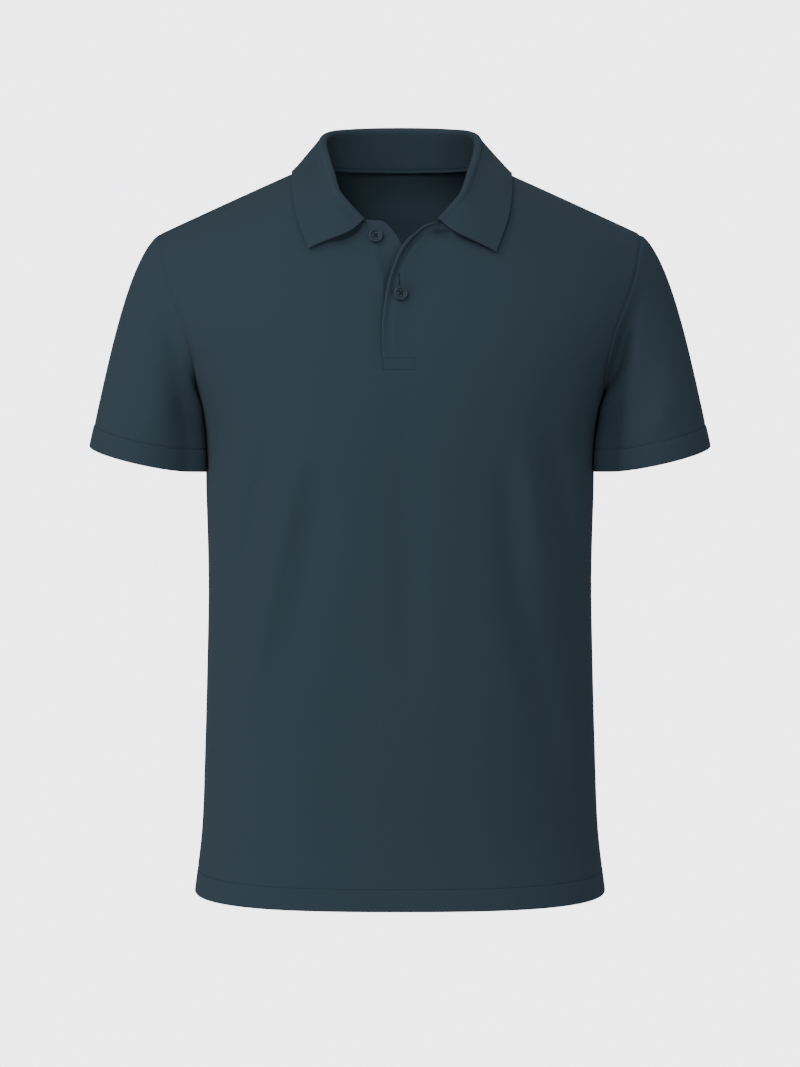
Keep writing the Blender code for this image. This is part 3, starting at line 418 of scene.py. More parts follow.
def body_normal(angle, ring, face, creases=()):
    """The outward direction of the body's surface."""
    step, limit = NORMAL_STEP, math.pi / 2
    high = body_point(angle, np.minimum(ring + step, HEM_RING), face, creases)
    low = body_point(angle, np.maximum(ring - step, 0.0), face, creases)
    right = body_point(np.minimum(angle + step, limit), ring, face, creases)
    left = body_point(np.maximum(angle - step, -limit), ring, face, creases)
    return unit(np.cross(right - left, high - low) * face)


def body_at(places, face, creases=()):
    """The points and outward directions at places on the body."""
    angle, ring = places[..., 0], places[..., 1]
    return body_point(angle, ring, face, creases), body_normal(angle, ring, face, creases)


def locate(x, z):
    """The angle and ring of the body's point that is seen from the front at x, z."""
    low, high = np.zeros(np.shape(x)), np.full(np.shape(x), float(HEM_RING))
    for _ in range(HALVINGS):
        middle = (low + high) / 2
        drop, slope = ring_values(middle)[:2]
        below = slope * ridge_height(x) - drop < z
        high = np.where(below, middle, high)
        low = np.where(below, low, middle)
    _, _, half, _, _, square = ring_values(low)
    share = np.clip(np.abs(x) / half, 0, 1)
    return np.stack([np.sign(x) * np.arcsin(share ** (square / 2)), low], axis=-1)


print("the body at x 0.05, z -0.2 is at angle and ring", locate(np.array(0.05), np.array(-0.2)).round(3))

# %% [markdown]
# ## Cutting the panels
#
# A shirt is cut to outlines: side seam, armhole, shoulder and neckline. Here each outline is a row of
# places on the body, with the same number of places on the front and on the back, so that two panels
# meet point for point where they are sewn. The armhole runs up from the side seam, turns in under the
# arm and goes straight up to the shoulder.

# %% The side seam and the armhole
SIDE_ROWS, ARM_ROWS = 14, 12
ARM_ANGLE = math.radians(61)
ARM_BEND = 4.0  # the ring where the armhole starts to curve in
ARM_LOW = 6.5  # and the ring of its lowest point
ARM_SCALE = (0.28, 0.045)  # metres for each radian and each ring beside the arm, about
HEM_DEPTH = 0.021


def body_rows(top):
    """Ring numbers from the hem up to top. Row 1 is the hem's line of stitches, all round."""
    drops = np.array([ring.drop for ring in RINGS])
    fine = np.linspace(HEM_RING - 1, HEM_RING, 200)
    line = np.interp(drops[-1] - HEM_DEPTH, ring_values(fine)[0], fine)
    return np.concatenate([[HEM_RING], np.linspace(line, top, SIDE_ROWS)])


def side_line(side):
    """The side seam from the hem up, then the armhole to the shoulder point."""
    seam = np.stack([np.full(SIDE_ROWS + 1, math.pi / 2), body_rows(ARM_LOW)], axis=1)
    turn = np.linspace(math.pi / 2, 0, 40)
    angle = ARM_ANGLE + (math.pi / 2 - ARM_ANGLE) * (1 - np.cos(turn))
    under = np.stack([angle, ARM_BEND + (ARM_LOW - ARM_BEND) * np.sin(turn)], axis=1)
    rise = np.stack([np.full(20, ARM_ANGLE), np.linspace(ARM_BEND, 0, 20)], axis=1)
    armhole = spaced(np.vstack([under, rise[1:]]) * ARM_SCALE, ARM_ROWS) / ARM_SCALE
    return np.vstack([seam, armhole[1:]]) * (side, 1)


print("side seam and armhole:", len(side_line(1)), "coarse places")

# %% The shoulder seam
SHOULDER_COLUMNS = 8


def shoulder_line(side):
    """The shoulder seam from the shoulder point to the neck."""
    x = np.linspace(SHOULDER_HALF, NECK_HALF, SHOULDER_COLUMNS + 1)
    angle = np.arcsin((x / RINGS[0].half_width) ** (RINGS[0].square / 2))
    angle[0] = ARM_ANGLE
    return np.stack([side * angle, np.zeros_like(angle)], axis=1)


seam = body_at(shoulder_line(1), -1)[0]
print("shoulder seam: %.3f m" % distances(seam)[-1])

# %% [markdown]
# ## The front opening
#
# The wearer's left side is folded back on itself and lies over the right side. Near the neck its edge
# curls forward and shows a rounded lip. The right side carries a separate strip, the under placket,
# which shows in the V of the neck. Both are tables of two edges, from the foot of the opening up to the
# neckline, so that the V can be shaped freely.

# %% The opening's tables
FoldEdge = namedtuple("FoldEdge", "fold_x fold_z facing_x facing_z curl")
OPENING = [
    FoldEdge(-0.0162, -0.1885, 0.0147, -0.1885, 0.0000),
    FoldEdge(-0.0164, -0.1640, 0.0147, -0.1640, 0.0001),
    FoldEdge(-0.0162, -0.1450, 0.0155, -0.1450, 0.0005),
    FoldEdge(-0.0144, -0.1290, 0.0178, -0.1280, 0.0014),
    FoldEdge(-0.0113, -0.1110, 0.0222, -0.1100, 0.0028),
    FoldEdge(-0.0058, -0.0935, 0.0285, -0.0930, 0.0050),
    FoldEdge(0.0016, -0.0775, 0.0360, -0.0780, 0.0070),
    FoldEdge(0.0112, -0.0660, 0.0425, -0.0670, 0.0078),
    FoldEdge(0.0215, -0.0575, 0.0480, -0.0585, 0.0074),
    FoldEdge(0.0335, -0.0530, 0.0525, -0.0520, 0.0058),
]
Band = namedtuple("Band", "left_x left_z right_x right_z left_off right_off")
UNDER_PLACKET = [
    Band(-0.0164, -0.1885, 0.0125, -0.1885, -0.0030, -0.0038),
    Band(-0.0165, -0.1640, 0.0127, -0.1640, -0.0018, -0.0039),
    Band(-0.0165, -0.1450, 0.0130, -0.1450, -0.0014, -0.0040),
    Band(-0.0166, -0.1280, 0.0125, -0.1280, -0.0006, -0.0040),
    Band(-0.0172, -0.1100, 0.0108, -0.1100, 0.0000, -0.0036),
    Band(-0.0190, -0.0940, 0.0078, -0.0940, 0.0002, -0.0026),
    Band(-0.0226, -0.0790, 0.0036, -0.0780, 0.0003, -0.0010),
    Band(-0.0268, -0.0670, -0.0026, -0.0665, 0.0003, 0.0000),
    Band(-0.0302, -0.0570, -0.0090, -0.0580, 0.0002, 0.0004),
    Band(-0.0325, -0.0508, -0.0165, -0.0520, 0.0000, 0.0006),
]
print("opening: %.0f mm deep" % ((OPENING[-1].fold_z - OPENING[0].fold_z) * 1000))

# %% [markdown]
# ## The neckline's outline
#
# The neckline is drawn as seen from the front: a squarish quarter of an oval from each shoulder to the
# opening, and a shallow dip at the back. Each of its points is then looked up on the body, which gives
# its place. Drawing it this way keeps its shape, however the body's rings are changed.

# %% The neckline's places
NECK_END = {-1: (-0.0325, -0.0508), 1: (0.0335, -0.0530)}  # where the neckline meets the opening
NECK_SQUARE = 0.72
BACK_NECK_DROP = 0.0118
NECK_COLUMNS, BACK_NECK_COLUMNS = 7, 12


def even_places(places, count, face):
    """The places along a line on the body again, count + 1 of them at even distances."""
    along = distances(body_point(places[:, 0], places[:, 1], face))
    at = np.linspace(0, along[-1], count + 1)
    return np.stack([np.interp(at, along, places[:, k]) for k in (0, 1)], axis=1)


def neck_arc(side):
    """The whole front neckline of one side as places, from the shoulder to its end, with their x."""
    end_x, end_z = NECK_END[side]
    top = ridge_height(NECK_HALF)
    turn = np.linspace(0, math.pi / 2, 400)
    x = end_x + (side * NECK_HALF - end_x) * np.maximum(np.cos(turn), 0) ** NECK_SQUARE
    z = top + (end_z - top) * np.sin(turn) ** NECK_SQUARE
    places = locate(x, z)
    places[0] = shoulder_line(side)[-1]
    return places, x


def neck_curve(side, count):
    """The front neckline from the shoulder to the facing, or on the wearer's right to its end."""
    places, x = neck_arc(side)
    if side > 0:
        places = places[x >= OPENING[-1].facing_x]
    return even_places(places, count, -1)


def back_neck_curve(count):
    """The back neckline, from the wearer's right shoulder to the left one."""
    turn = np.linspace(math.pi, 0, 400)
    z = ridge_height(NECK_HALF) - BACK_NECK_DROP * np.maximum(np.sin(turn), 0) ** 0.5
    places = locate(NECK_HALF * np.cos(turn), z)
    places[0], places[-1] = (shoulder_line(side)[-1] for side in (-1, 1))
    return even_places(places, count, 1)


for side, word in ((1, "left"), (-1, "right")):
    arc = body_at(neck_curve(side, NECK_COLUMNS), -1)[0]
    print("front neckline, wearer's %s: %.3f m" % (word, distances(arc)[-1]))

# %% [markdown]
# ## From outlines to a fine grid
#
# A coarse grid is laid between the outlines and relaxed, so that its lines cross squarely, as threads
# do. It is then read again through smooth curves, with the lines drawn closer together at the seams and
# the hem, where the cloth rolls over in a few millimetres. A modifier could subdivide the mesh instead,
# but it would also round the corners off.

# %% Rows and columns of the panels
HEM_ROW = 1
PANEL_STOPS = (0, HEM_ROW, SIDE_ROWS, SIDE_ROWS + ARM_ROWS)
HALF_STOPS = (0, SHOULDER_COLUMNS, SHOULDER_COLUMNS + NECK_COLUMNS)
BACK_NECK_END = SHOULDER_COLUMNS + BACK_NECK_COLUMNS
BACK_STOPS = (0, SHOULDER_COLUMNS, BACK_NECK_END, BACK_NECK_END + SHOULDER_COLUMNS)
FINER = 5  # fine lines for each coarse one
PULL = 0.7  # how strongly they are drawn towards a stop
BESIDE_STITCHES = np.array([-0.13, -0.07, -0.035, 0.03, 0.06, 0.11])


def graded(stops, finer):
    """Positions along a grid: finer of them for each step, drawn closer together towards each stop."""
    parts = []
    for start, end in zip(stops, stops[1:]):
        u = np.linspace(0, 1, (end - start) * finer + 1)
        parts.append(start + (end - start) * (u - PULL * np.sin(2 * math.pi * u) / (2 * math.pi)))
    return np.unique(np.round(np.concatenate(parts), 6))


PANEL_ROWS = np.unique(np.concatenate([graded(PANEL_STOPS, FINER), HEM_ROW + BESIDE_STITCHES]))
HEM_LINE = int(np.searchsorted(PANEL_ROWS, HEM_ROW))
ARM_START = int(np.searchsorted(PANEL_ROWS, SIDE_ROWS))
ARM_SHARES = (PANEL_ROWS[ARM_START:] - SIDE_ROWS) / ARM_ROWS
HALF_COLUMNS, BACK_COLUMNS = graded(HALF_STOPS, FINER), graded(BACK_STOPS, FINER)
print("rows:", len(PANEL_ROWS))
print("columns: half a front", len(HALF_COLUMNS), "and the back", len(BACK_COLUMNS))

# %% Spread a grid and read it at finer lines
RELAX_TURNS, RELAX_STEP = 150, 0.8
RELAX_FROM = SIDE_ROWS - 4  # the straight rows below stay as they are
PLACE_SCALE = np.array([0.23, 0.05])  # metres for each radian and each ring, about


def read_along(grid, axis, at, stops):
    """A coarse grid read at finer positions along one axis.

    Each curve ends at a stop, so corners stay sharp.
    """
    lines = np.moveaxis(grid, axis, 0)
    out = np.empty((len(at),) + lines.shape[1:])
    for start, end in zip(stops, stops[1:]):
        inside = (at >= start) & (at <= end)
        out[inside] = spline(lines[start : end + 1], at[inside] - start)
    return np.moveaxis(out, 0, axis)


def relaxed(grid):
    """The grid with its upper inner points spread, so that lines cross squarely and no cell folds over."""
    flat = grid * PLACE_SCALE
    for _ in range(RELAX_TURNS):
        part = flat[RELAX_FROM:]
        up, down, right, left = part[2:, 1:-1], part[:-2, 1:-1], part[1:-1, 2:], part[1:-1, :-2]
        along, across = (up - down) / 2, (right - left) / 2
        a = (along**2).sum(-1, keepdims=True)
        c = (across**2).sum(-1, keepdims=True)
        b = (along * across).sum(-1, keepdims=True)
        mixed = part[2:, 2:] - part[2:, :-2] - part[:-2, 2:] + part[:-2, :-2]
        moved = (a * (right + left) + c * (up + down) - b / 2 * mixed) / (2 * (a + c))
        part[1:-1, 1:-1] += (moved - part[1:-1, 1:-1]) * RELAX_STEP
    return flat / PLACE_SCALE


def patch(left, right, top, column_stops, columns):
    """A fine grid of places between two side lines and a top line.

    Its rows go from the hem up, and its columns from left to right.
    """
    share = np.clip((np.arange(len(left)) - SIDE_ROWS) / ARM_ROWS, 0, 1)[:, None, None]
    s = np.linspace(0, 1, len(top))[None, :, None]
    bend = top[None] - ((1 - s) * top[0] + s * top[-1])
    coarse = relaxed((1 - s) * left[:, None] + s * right[:, None] + share**1.5 * bend)
    fine = read_along(read_along(coarse, 0, PANEL_ROWS, PANEL_STOPS), 1, columns, column_stops)
    fine[..., 0] = np.clip(fine[..., 0], -math.pi / 2, math.pi / 2)
    fine[..., 1] = np.clip(fine[..., 1], 0, HEM_RING)
    return fine


print("a grid of places is relaxed", RELAX_TURNS, "times")

# %% [markdown]
# ## From grid to cloth
#
# A piece of cloth starts as an open sheet of quads with a UV map in metres, so that the knit runs at its
# real size along the grain. Solidify gives it thickness on the inner side, and a small Bevel rounds its
# cut edges. Both are modifiers, so the sheet below them stays simple and can still be changed.

# %% Measure a grid of points
def sheet_normals(points):
    """The directions square to a grid of points, after both of its ways."""
    return unit(np.cross(np.gradient(points, axis=0), np.gradient(points, axis=1)))


def facing_out(normals, reference):
    """The same directions, all turned to the side that reference points to."""
    return normals * np.where((normals * reference).sum(-1, keepdims=True) < 0, -1.0, 1.0)


def lengths(points, axis):
    """How far each point of a grid is from the first one of its line."""
    lines = np.moveaxis(points, axis, 0)
    steps = np.linalg.norm(np.diff(lines, axis=0), axis=-1)
    start = np.zeros((1,) + steps.shape[1:])
    return np.moveaxis(np.concatenate([start, np.cumsum(steps, axis=0)]), 0, axis)


def seam_gaps(points):
    """How far each point of a grid is from its left, right and top edges."""
    across, up = lengths(points, 1), lengths(points, 0)
    return across, across[:, -1:] - across, up[-1:] - up


def hem_gaps(points):
    """How far each point of a panel is above the hem's stitches, and below them as a negative."""
    up = lengths(points, 0)
    return up - up[HEM_LINE]


print("the hem's stitches are on fine row", HEM_LINE)

# %% Make an object from points
UV_NAME = "grain"


def add_object(name, points, faces, uv=None, sharp=50):
    """A named object from points and faces, shaded smooth, with an optional UV for each point."""
    mesh = bpy.data.meshes.new(name)
    mesh.from_pydata(points.tolist(), [], faces)
    if uv is not None:
        corners = np.empty(len(mesh.loops), np.int32)
        mesh.loops.foreach_get("vertex_index", corners)
        layer = mesh.uv_layers.new(name=UV_NAME)
        layer.data.foreach_set("uv", uv[corners].astype(np.float32).ravel())
    mesh.shade_smooth()
    mesh.set_sharp_from_angle(angle=math.radians(sharp))
    thing = bpy.data.objects.new(name, mesh)
    bpy.context.scene.collection.objects.link(thing)
    return thing


print("pieces of cloth carry a UV map called", UV_NAME)

# %% Make it into cloth
CLOTH, RIB_CLOTH, HEM_CLOTH = 0.0012, 0.0019, 0.0022
EDGE_ROUND, EDGE_ANGLE = 0.0004, math.radians(62)  # the bevel of a cut edge


def thicken(thing, thickness, offset, shares=None):
    """Gives a sheet its thickness and soft cut edges. shares thins it, with one share a point."""
    solid = thing.modifiers.new("thickness", "SOLIDIFY")
    solid.thickness = thickness
    solid.offset = offset
    solid.use_even_offset = True
    if shares is not None:
        group = thing.vertex_groups.new(name="thickness")
        for value in np.unique(np.round(shares, 3)):
            same = np.flatnonzero(np.round(shares, 3) == value)
            group.add(same.tolist(), float(value), "REPLACE")
        solid.vertex_group = group.name
    edge = thing.modifiers.new("soft edge", "BEVEL")
    edge.width = EDGE_ROUND
    edge.segments = 2
    edge.limit_method = "ANGLE"
    edge.angle_limit = EDGE_ANGLE


def cloth_piece(name, points, outward, thickness, present=None, closed=False, offset=-1.0, thin=None):
    """An open sheet from a grid of points, made thick on its inner side.

    closed joins its last column to the first, present says which cells it has, and thin thins it.
    """
    if closed:
        points = np.concatenate([points, points[:, :1]], axis=1)
        outward = np.concatenate([outward, outward[:, :1]], axis=1)
    across, down = lengths(points, 1), lengths(points, 0)
    middle = points.shape[1] // 2
    uv = np.stack([across - across[:, middle : middle + 1], down], axis=-1)
    number = np.arange(points[..., 0].size).reshape(points.shape[:2])
    quads = np.stack([number[:-1, :-1], number[:-1, 1:], number[1:, 1:], number[1:, :-1]], axis=-1)
    corner = points[:-1, :-1]
    facing = np.cross(points[:-1, 1:] - corner, points[1:, :-1] - corner)
    if (facing * outward[:-1, :-1]).sum() < 0:
        quads = quads[..., ::-1]
    quads = quads.reshape(-1, 4) if present is None else quads[present]
    used = np.unique(quads)
    renumber = np.zeros(number.size, int)
    renumber[used] = np.arange(len(used))
    flat_uv = uv.reshape(-1, 2)[used]
    thing = add_object(name, points.reshape(-1, 3)[used], renumber[quads].tolist(), flat_uv)
    if closed:
        weld = thing.modifiers.new("joined", "WELD")
        weld.merge_threshold = 1e-6
    shares = None if thin is None else np.broadcast_to(thin, points.shape[:2]).reshape(-1)[used]
    thicken(thing, thickness, offset, shares)
    print(name, "-", len(quads), "cells")
    return thing


print("cloth %.1f mm, rib %.1f mm" % (CLOTH * 1000, RIB_CLOTH * 1000))

# %% [markdown]
# ## Seams as soft valleys
#
# Where two pieces are sewn, the thread pulls the cloth in. So the sheet dips inwards over two or three
# millimetres along each seam. That soft valley is what makes two pieces look sewn together, far more
# than a drawn line would.

# %% Let the cloth in along a seam
SEAM_WIDTH = 0.0021


def dipped(points, normals, gap, depth, width=SEAM_WIDTH):
    """The points let in along a seam. gap is how far each one is from the seam."""
    return points - normals * (depth * bell(gap, width))[..., None]


print("a seam's valley is about %.1f mm wide" % (2 * SEAM_WIDTH * 1000))

# %% [markdown]
# ## The armholes
#
# A set-in sleeve is sewn into an oval armhole. Body and sleeve meet there at an angle, so both need one
# common line and one common direction to dip in, or a gap would open along the seam. The sleeve itself
# is a tube that leaves the armhole along the shoulder's slope and swings down to its round lower end: a
# Hermite curve does that at each station.

# %% The ring at the sleeve's lower end
CUFF_CENTRE = np.array([0.2425, -0.003, -0.2820])
CUFF_LONG, CUFF_DEEP = 0.0545, 0.0520
CUFF_TILT, CUFF_DIP = math.radians(12), math.radians(2)
CUFF_DEPTH = 0.021
LEAN_OUTER, LEAN_INNER, LEAN_FORWARD = 0.225, -0.02, 0.04
ARM_LOOP = np.concatenate([ARM_SHARES, 2 - ARM_SHARES[-2:0:-1]])  # up the front to 1, down the back
ARM_TOP = len(ARM_SHARES) - 1
TURNS = math.pi * (1 - ARM_LOOP)


def sleeve_way():
    """The way down the sleeve at its lower end, at each station round it."""
    lean = (LEAN_OUTER + LEAN_INNER) / 2 + (LEAN_OUTER - LEAN_INNER) / 2 * np.cos(TURNS)
    return unit(np.stack([lean, np.full_like(lean, -LEAN_FORWARD), np.full_like(lean, -1.0)], axis=1))


def cuff_ring(up, grow):
    """A ring round the sleeve, at a height above the cuff's edge."""
    cos, sin = np.cos(TURNS)[:, None], np.sin(TURNS)[:, None]
    out = np.array([math.cos(CUFF_TILT), 0, math.sin(CUFF_TILT)])
    forward = np.array([0, -math.cos(CUFF_DIP), -math.sin(CUFF_DIP)])
    ring = CUFF_CENTRE + cos * out * (CUFF_LONG + grow) + sin * forward * (CUFF_DEEP + grow)
    return ring - sleeve_way() * up


ring = cuff_ring(0, 0)
print("round the sleeve's end: %.3f m" % distances(np.vstack([ring, ring[:1]]))[-1])

# %% The sleeve's tube
SLEEVE_LIFT, SLEEVE_START, SLEEVE_END = 0.80, 0.55, 0.95
SLEEVE_DROOP = np.array([0.16, 0, -1.0])  # the way that the cloth hangs under the arm
SLEEVE_ROWS, SLEEVE_FINER = 9, 6
SLEEVE_SHARES = graded((0, SLEEVE_ROWS), SLEEVE_FINER) / SLEEVE_ROWS


def sleeve_points(loop, body, shares):
    """The sleeve's outer points: rows from the armhole down, columns round it."""
    rise = (1 - np.abs(ARM_LOOP - 1))[:, None]
    end, end_way = cuff_ring(CUFF_DEPTH, 0.0), sleeve_way()
    tangent = unit(np.roll(loop, -1, axis=0) - np.roll(loop, 1, axis=0))
    leaving = facing_out(unit(np.cross(body, tangent)), np.array([1.0, 0, 0]))
    start_way = unit(leaving * SLEEVE_LIFT * rise + SLEEVE_DROOP * (1 - SLEEVE_LIFT * rise))
    chord = np.linalg.norm(end - loop, axis=1, keepdims=True)
    t = shares[:, None, None]
    h00, h10 = 2 * t**3 - 3 * t**2 + 1, t**3 - 2 * t**2 + t
    h01, h11 = 3 * t**2 - 2 * t**3, t**3 - t**2
    first_half = h00 * loop + h10 * start_way * chord * SLEEVE_START
    return first_half + h01 * end + h11 * end_way * chord * SLEEVE_END


def tube_normals(points):
    """Outward directions of a tube of points."""
    around = np.roll(points, -1, axis=1) - np.roll(points, 1, axis=1)
    across = unit(np.cross(np.gradient(points, axis=0), around))
    return facing_out(across, points - points.mean(axis=1, keepdims=True))


print("a sleeve has", len(SLEEVE_SHARES), "rows of", len(ARM_LOOP), "points")

# %% The seam that body and sleeve share
UNDER_ARM = 0.035  # near its lowest point the seam faces straight down, over this height
line = read_along(side_line(1), 0, PANEL_ROWS, PANEL_STOPS)[ARM_START:]
arm_front, arm_back = body_at(line, -1, FRONT_CREASES), body_at(line, 1, BACK_CREASES)
ARM_POINTS, ARM_BODY = (np.vstack([arm_front[k], arm_back[k][-2:0:-1]]) for k in (0, 1))
sleeve_start = tube_normals(sleeve_points(ARM_POINTS, ARM_BODY, SLEEVE_SHARES))[0]
low = (ARM_POINTS[:, 2:] - ARM_POINTS[:, 2].min()) / UNDER_ARM
ARM_SHARED = unit(ARM_BODY + sleeve_start + np.exp(-(low**2)) * np.array([0, 0, -1.0]))
ARM_SHARED[ARM_TOP] = ARM_BODY[ARM_TOP]


def arm_shared(face, side):
    """The common direction along one half of the armhole, from its lowest point up."""
    front = ARM_SHARED[: ARM_TOP + 1]
    behind = np.vstack([ARM_SHARED[:1], ARM_SHARED[: ARM_TOP - 1 : -1]])
    return (front if face < 0 else behind) * (side, 1, 1)


print("armhole round: %.3f m" % distances(np.vstack([ARM_POINTS, ARM_POINTS[:1]]))[-1])

# %% Where the sleeve lies against the body
HUG_GAP, HUG_REACH = 0.0005, 0.0260
HUG_FROM, HUG_FADE = -0.185, 0.05  # it starts at this height and is full this much lower


def body_side(y, z):
    """How far out the body's side reaches at these depths and heights."""
    rings = np.linspace(4, HEM_RING, 200)
    drop, slope, half, front, back, square = ring_values(rings)
    height = slope * ridge_height(half) - drop
    tables = (half, front, back, square)
    half, front, back, square = (np.interp(-z, -height, values) for values in tables)
    depth = np.where(y < SIDE_Y, front, back)
    return half * np.maximum(1 - np.abs((y - SIDE_Y) / depth) ** square, 0) ** (1 / square)


def hugging(points, share):
    """The points of the sleeve, its inner side drawn towards the body. share fades this in."""
    gap = points[..., 0] - body_side(points[..., 1], points[..., 2])
    nearer = HUG_GAP + np.maximum(gap, 0) * smooth(gap / HUG_REACH) ** 3
    moved = points.copy()
    share = share * smooth((HUG_FROM - points[..., 2]) / HUG_FADE)
    moved[..., 0] += (np.where(gap < HUG_REACH, nearer, gap) - gap) * share
    return moved


print("the body's side at z -0.25: %.3f m" % body_side(SIDE_Y, -0.25))

# %% [markdown]
# ## The folded edge of the placket
#
# The front is cut in one piece. Below the placket it is whole; above, it is slit. Beside the slit, on the
# wearer's left, the cloth turns under on itself in a roll of one and a half millimetres and runs back
# behind as a facing. The roll opens out of the flat cloth over the first centimetre, as it does where a
# placket is stitched down at its foot. A plain thick edge would be simpler, but its sharp rim would not
# read as folded cloth.

# %% Read the opening's tables
def table_at(table, shares):
    """A table of two edges read at shares of the length of the line halfway between them."""
    fine = spline(np.array(table), np.linspace(0, len(table) - 1, 400))
    along = distances((fine[:, :2] + fine[:, 2:4]) / 2)
    at = shares * along[-1]
    return np.stack([np.interp(at, along, fine[:, k]) for k in range(fine.shape[1])], axis=1)


def with_lower_line(place):
    """The places straight below one at the foot of the opening, from the hem up to it."""
    rows = PANEL_ROWS[: ARM_START + 1]
    rings = np.interp(rows, np.arange(SIDE_ROWS + 1), body_rows(place[1]))
    return np.stack([np.full(len(rows), place[0]), rings], axis=1)


print("halfway up, the fold is at", table_at(OPENING, np.array([0.5]))[0, :2].round(4))

# %% Places on the strip beside the fold
FOLD_ROLL = 0.0015
FOOT_SHARE = 0.10  # the roll opens over this share of the opening's height
NECK_FROM, NECK_FADE = 0.9, 0.1  # the top rows bend to meet the neckline
LEAST_TURN = 0.008  # below it, the cloth is all but flat
STRIP_SHARES = np.array(
    [0, 0.025, 0.05, 0.08, 0.11, 0.15, 0.19, 0.24, 0.3, 0.37, 0.45, 0.55, 0.66, 0.78, 0.9, 1]
)


def fold_turn():
    """How far the fold has turned under at each row, as an angle, and how far it reaches out."""
    turn = np.maximum(smooth(ARM_SHARES / FOOT_SHARE), LEAST_TURN) * math.pi / 2
    return turn, FOLD_ROLL * (math.pi / 2) / turn * np.sin(turn)


def strip_places(table, reach):
    """The strip's places on the body, and the share of the way across it that each one is."""
    s = STRIP_SHARES[None, :]
    x = (table[:, 0] + reach)[:, None] * (1 - s) + table[:, 2:3] * s
    share = (x - table[:, :1]) / (table[:, 2] - table[:, 0])[:, None]
    z = table[:, 1:2] * (1 - share) + table[:, 3:4] * share
    arc_places, arc_x = neck_arc(1)
    arc_z = body_at(arc_places, -1)[0][:, 2]
    neck = np.interp(x[-1], arc_x[::-1], arc_z[::-1])
    z += (neck - z[-1]) * smooth((ARM_SHARES[:, None] - NECK_FROM) / NECK_FADE)
    return locate(x, z), share


print("the strip has", len(STRIP_SHARES), "columns and", len(ARM_SHARES), "rows")

# %% Curl the edge forward
CURL_POWER = 3.4  # the curl of the table fades across the strip with this power
STRIP_RISE, RISE_POWER = 0.0018, 1.5  # the fold lies on the other half, so it stands this much higher
RISE_FROM = 0.12  # and it rises over this share of the opening's height
RISE_TO, RISE_FADE = 0.85, 0.35  # and is back at this share, where the neck opens
LIP, LIP_WIDTH = 0.0004, 0.0020  # the folded edge stands up a little
VALLEY, VALLEY_TOP = 0.0007, 0.0056  # and the cloth sinks behind it, deepest near the neck
VALLEY_AT, VALLEY_WIDTH = 0.0062, 0.0030
LIP_FROM, LIP_TO, LIP_FADE = 0.3, 0.97, 0.20  # both fade in from the foot, and out at the neck


def curled(points, normals, table, share, reach):
    """The strip with its edge curled forward, the lip along it and the valley behind it."""
    risen = smooth(ARM_SHARES / RISE_FROM) * smooth((RISE_TO - ARM_SHARES) / RISE_FADE)
    rise = STRIP_RISE * risen[:, None] * (1 - share) ** RISE_POWER
    points[..., 1] -= table[:, 4:5] * (1 - share) ** CURL_POWER + rise
    turned = facing_out(sheet_normals(points), normals)
    behind_lip = lengths(points, 1) + reach[:, None]
    sink = VALLEY + VALLEY_TOP * ARM_SHARES[:, None] ** 3
    lip = LIP * bell(behind_lip, LIP_WIDTH) - sink * bell(behind_lip - VALLEY_AT, VALLEY_WIDTH)
    lip *= smooth(ARM_SHARES / LIP_FROM)[:, None]
    lip *= smooth((LIP_TO - ARM_SHARES) / LIP_FADE)[:, None]
    points += turned * lip[..., None]
    return points, facing_out(sheet_normals(points), normals)


print("curl, mm:", (np.array(OPENING)[:, 4] * 1000).round(1))

# %% Roll the edge under
ROLL_STEPS = 6


def rolled_edge(edge, first, outwards, turn):
    """The columns of the roll, from its far side up to the cloth, as points and directions."""
    rolls = []
    radius = FOLD_ROLL * (math.pi / 2) / turn[:, None]
    for share in np.linspace(1, 0, ROLL_STEPS + 1)[:-1]:
        angle = (turn * share)[:, None]
        move = outwards * radius * np.sin(angle) + first * radius * (np.cos(angle) - 1)
        rolls.append((edge + move, unit(first * np.cos(angle) + outwards * np.sin(angle))))
    return (np.stack([roll[k] for roll in rolls], axis=1) for k in (0, 1))


def folded_strip():
    """The strip from the hem up: points, directions, places, and the way out at its folded edge."""
    table = table_at(OPENING, ARM_SHARES)
    turn, reach = fold_turn()
    places, share = strip_places(table, reach)
    points, normals = body_at(places, -1, FRONT_CREASES)
    points, turned = curled(points, normals, table, share, reach)
    lower = np.stack([with_lower_line(place) for place in places[0]], axis=1)
    low_points, low_normals = body_at(lower, -1, FRONT_CREASES)
    points = np.concatenate([low_points, points[1:]])
    blend = smooth(ARM_SHARES * 8)[1:, None, None]
    normals = np.concatenate([low_normals, unit(normals[1:] * (1 - blend) + turned[1:] * blend)])
    turn = np.concatenate([np.full(ARM_START, turn[0]), turn])
    outwards = unit(points[:, 0] - points[:, 1])
    first = normals[:, 0]
    outwards = unit(outwards - first * (outwards * first).sum(-1, keepdims=True))
    roll_points, roll_normals = rolled_edge(points[:, 0], first, outwards, turn)
    points = np.concatenate([roll_points, points], axis=1)
    normals = np.concatenate([roll_normals, normals], axis=1)
    return points, normals, np.concatenate([lower, places[1:]]), outwards


STRIP, STRIP_NORMALS, STRIP_PLACES, STRIP_OUT = folded_strip()
print("the lip at the neck:", STRIP[-1, 0].round(4))

# %% [markdown]
# ## The front panel
#
# The front is joined from three grids that share their edges: the half on the wearer's right, the folded
# strip, and the half on the left. The column of cells between the first two is left out above the
# placket's foot, and that is the slit. Every edge is then let in along its seam, and the half under the
# fold sinks, to make room for it.

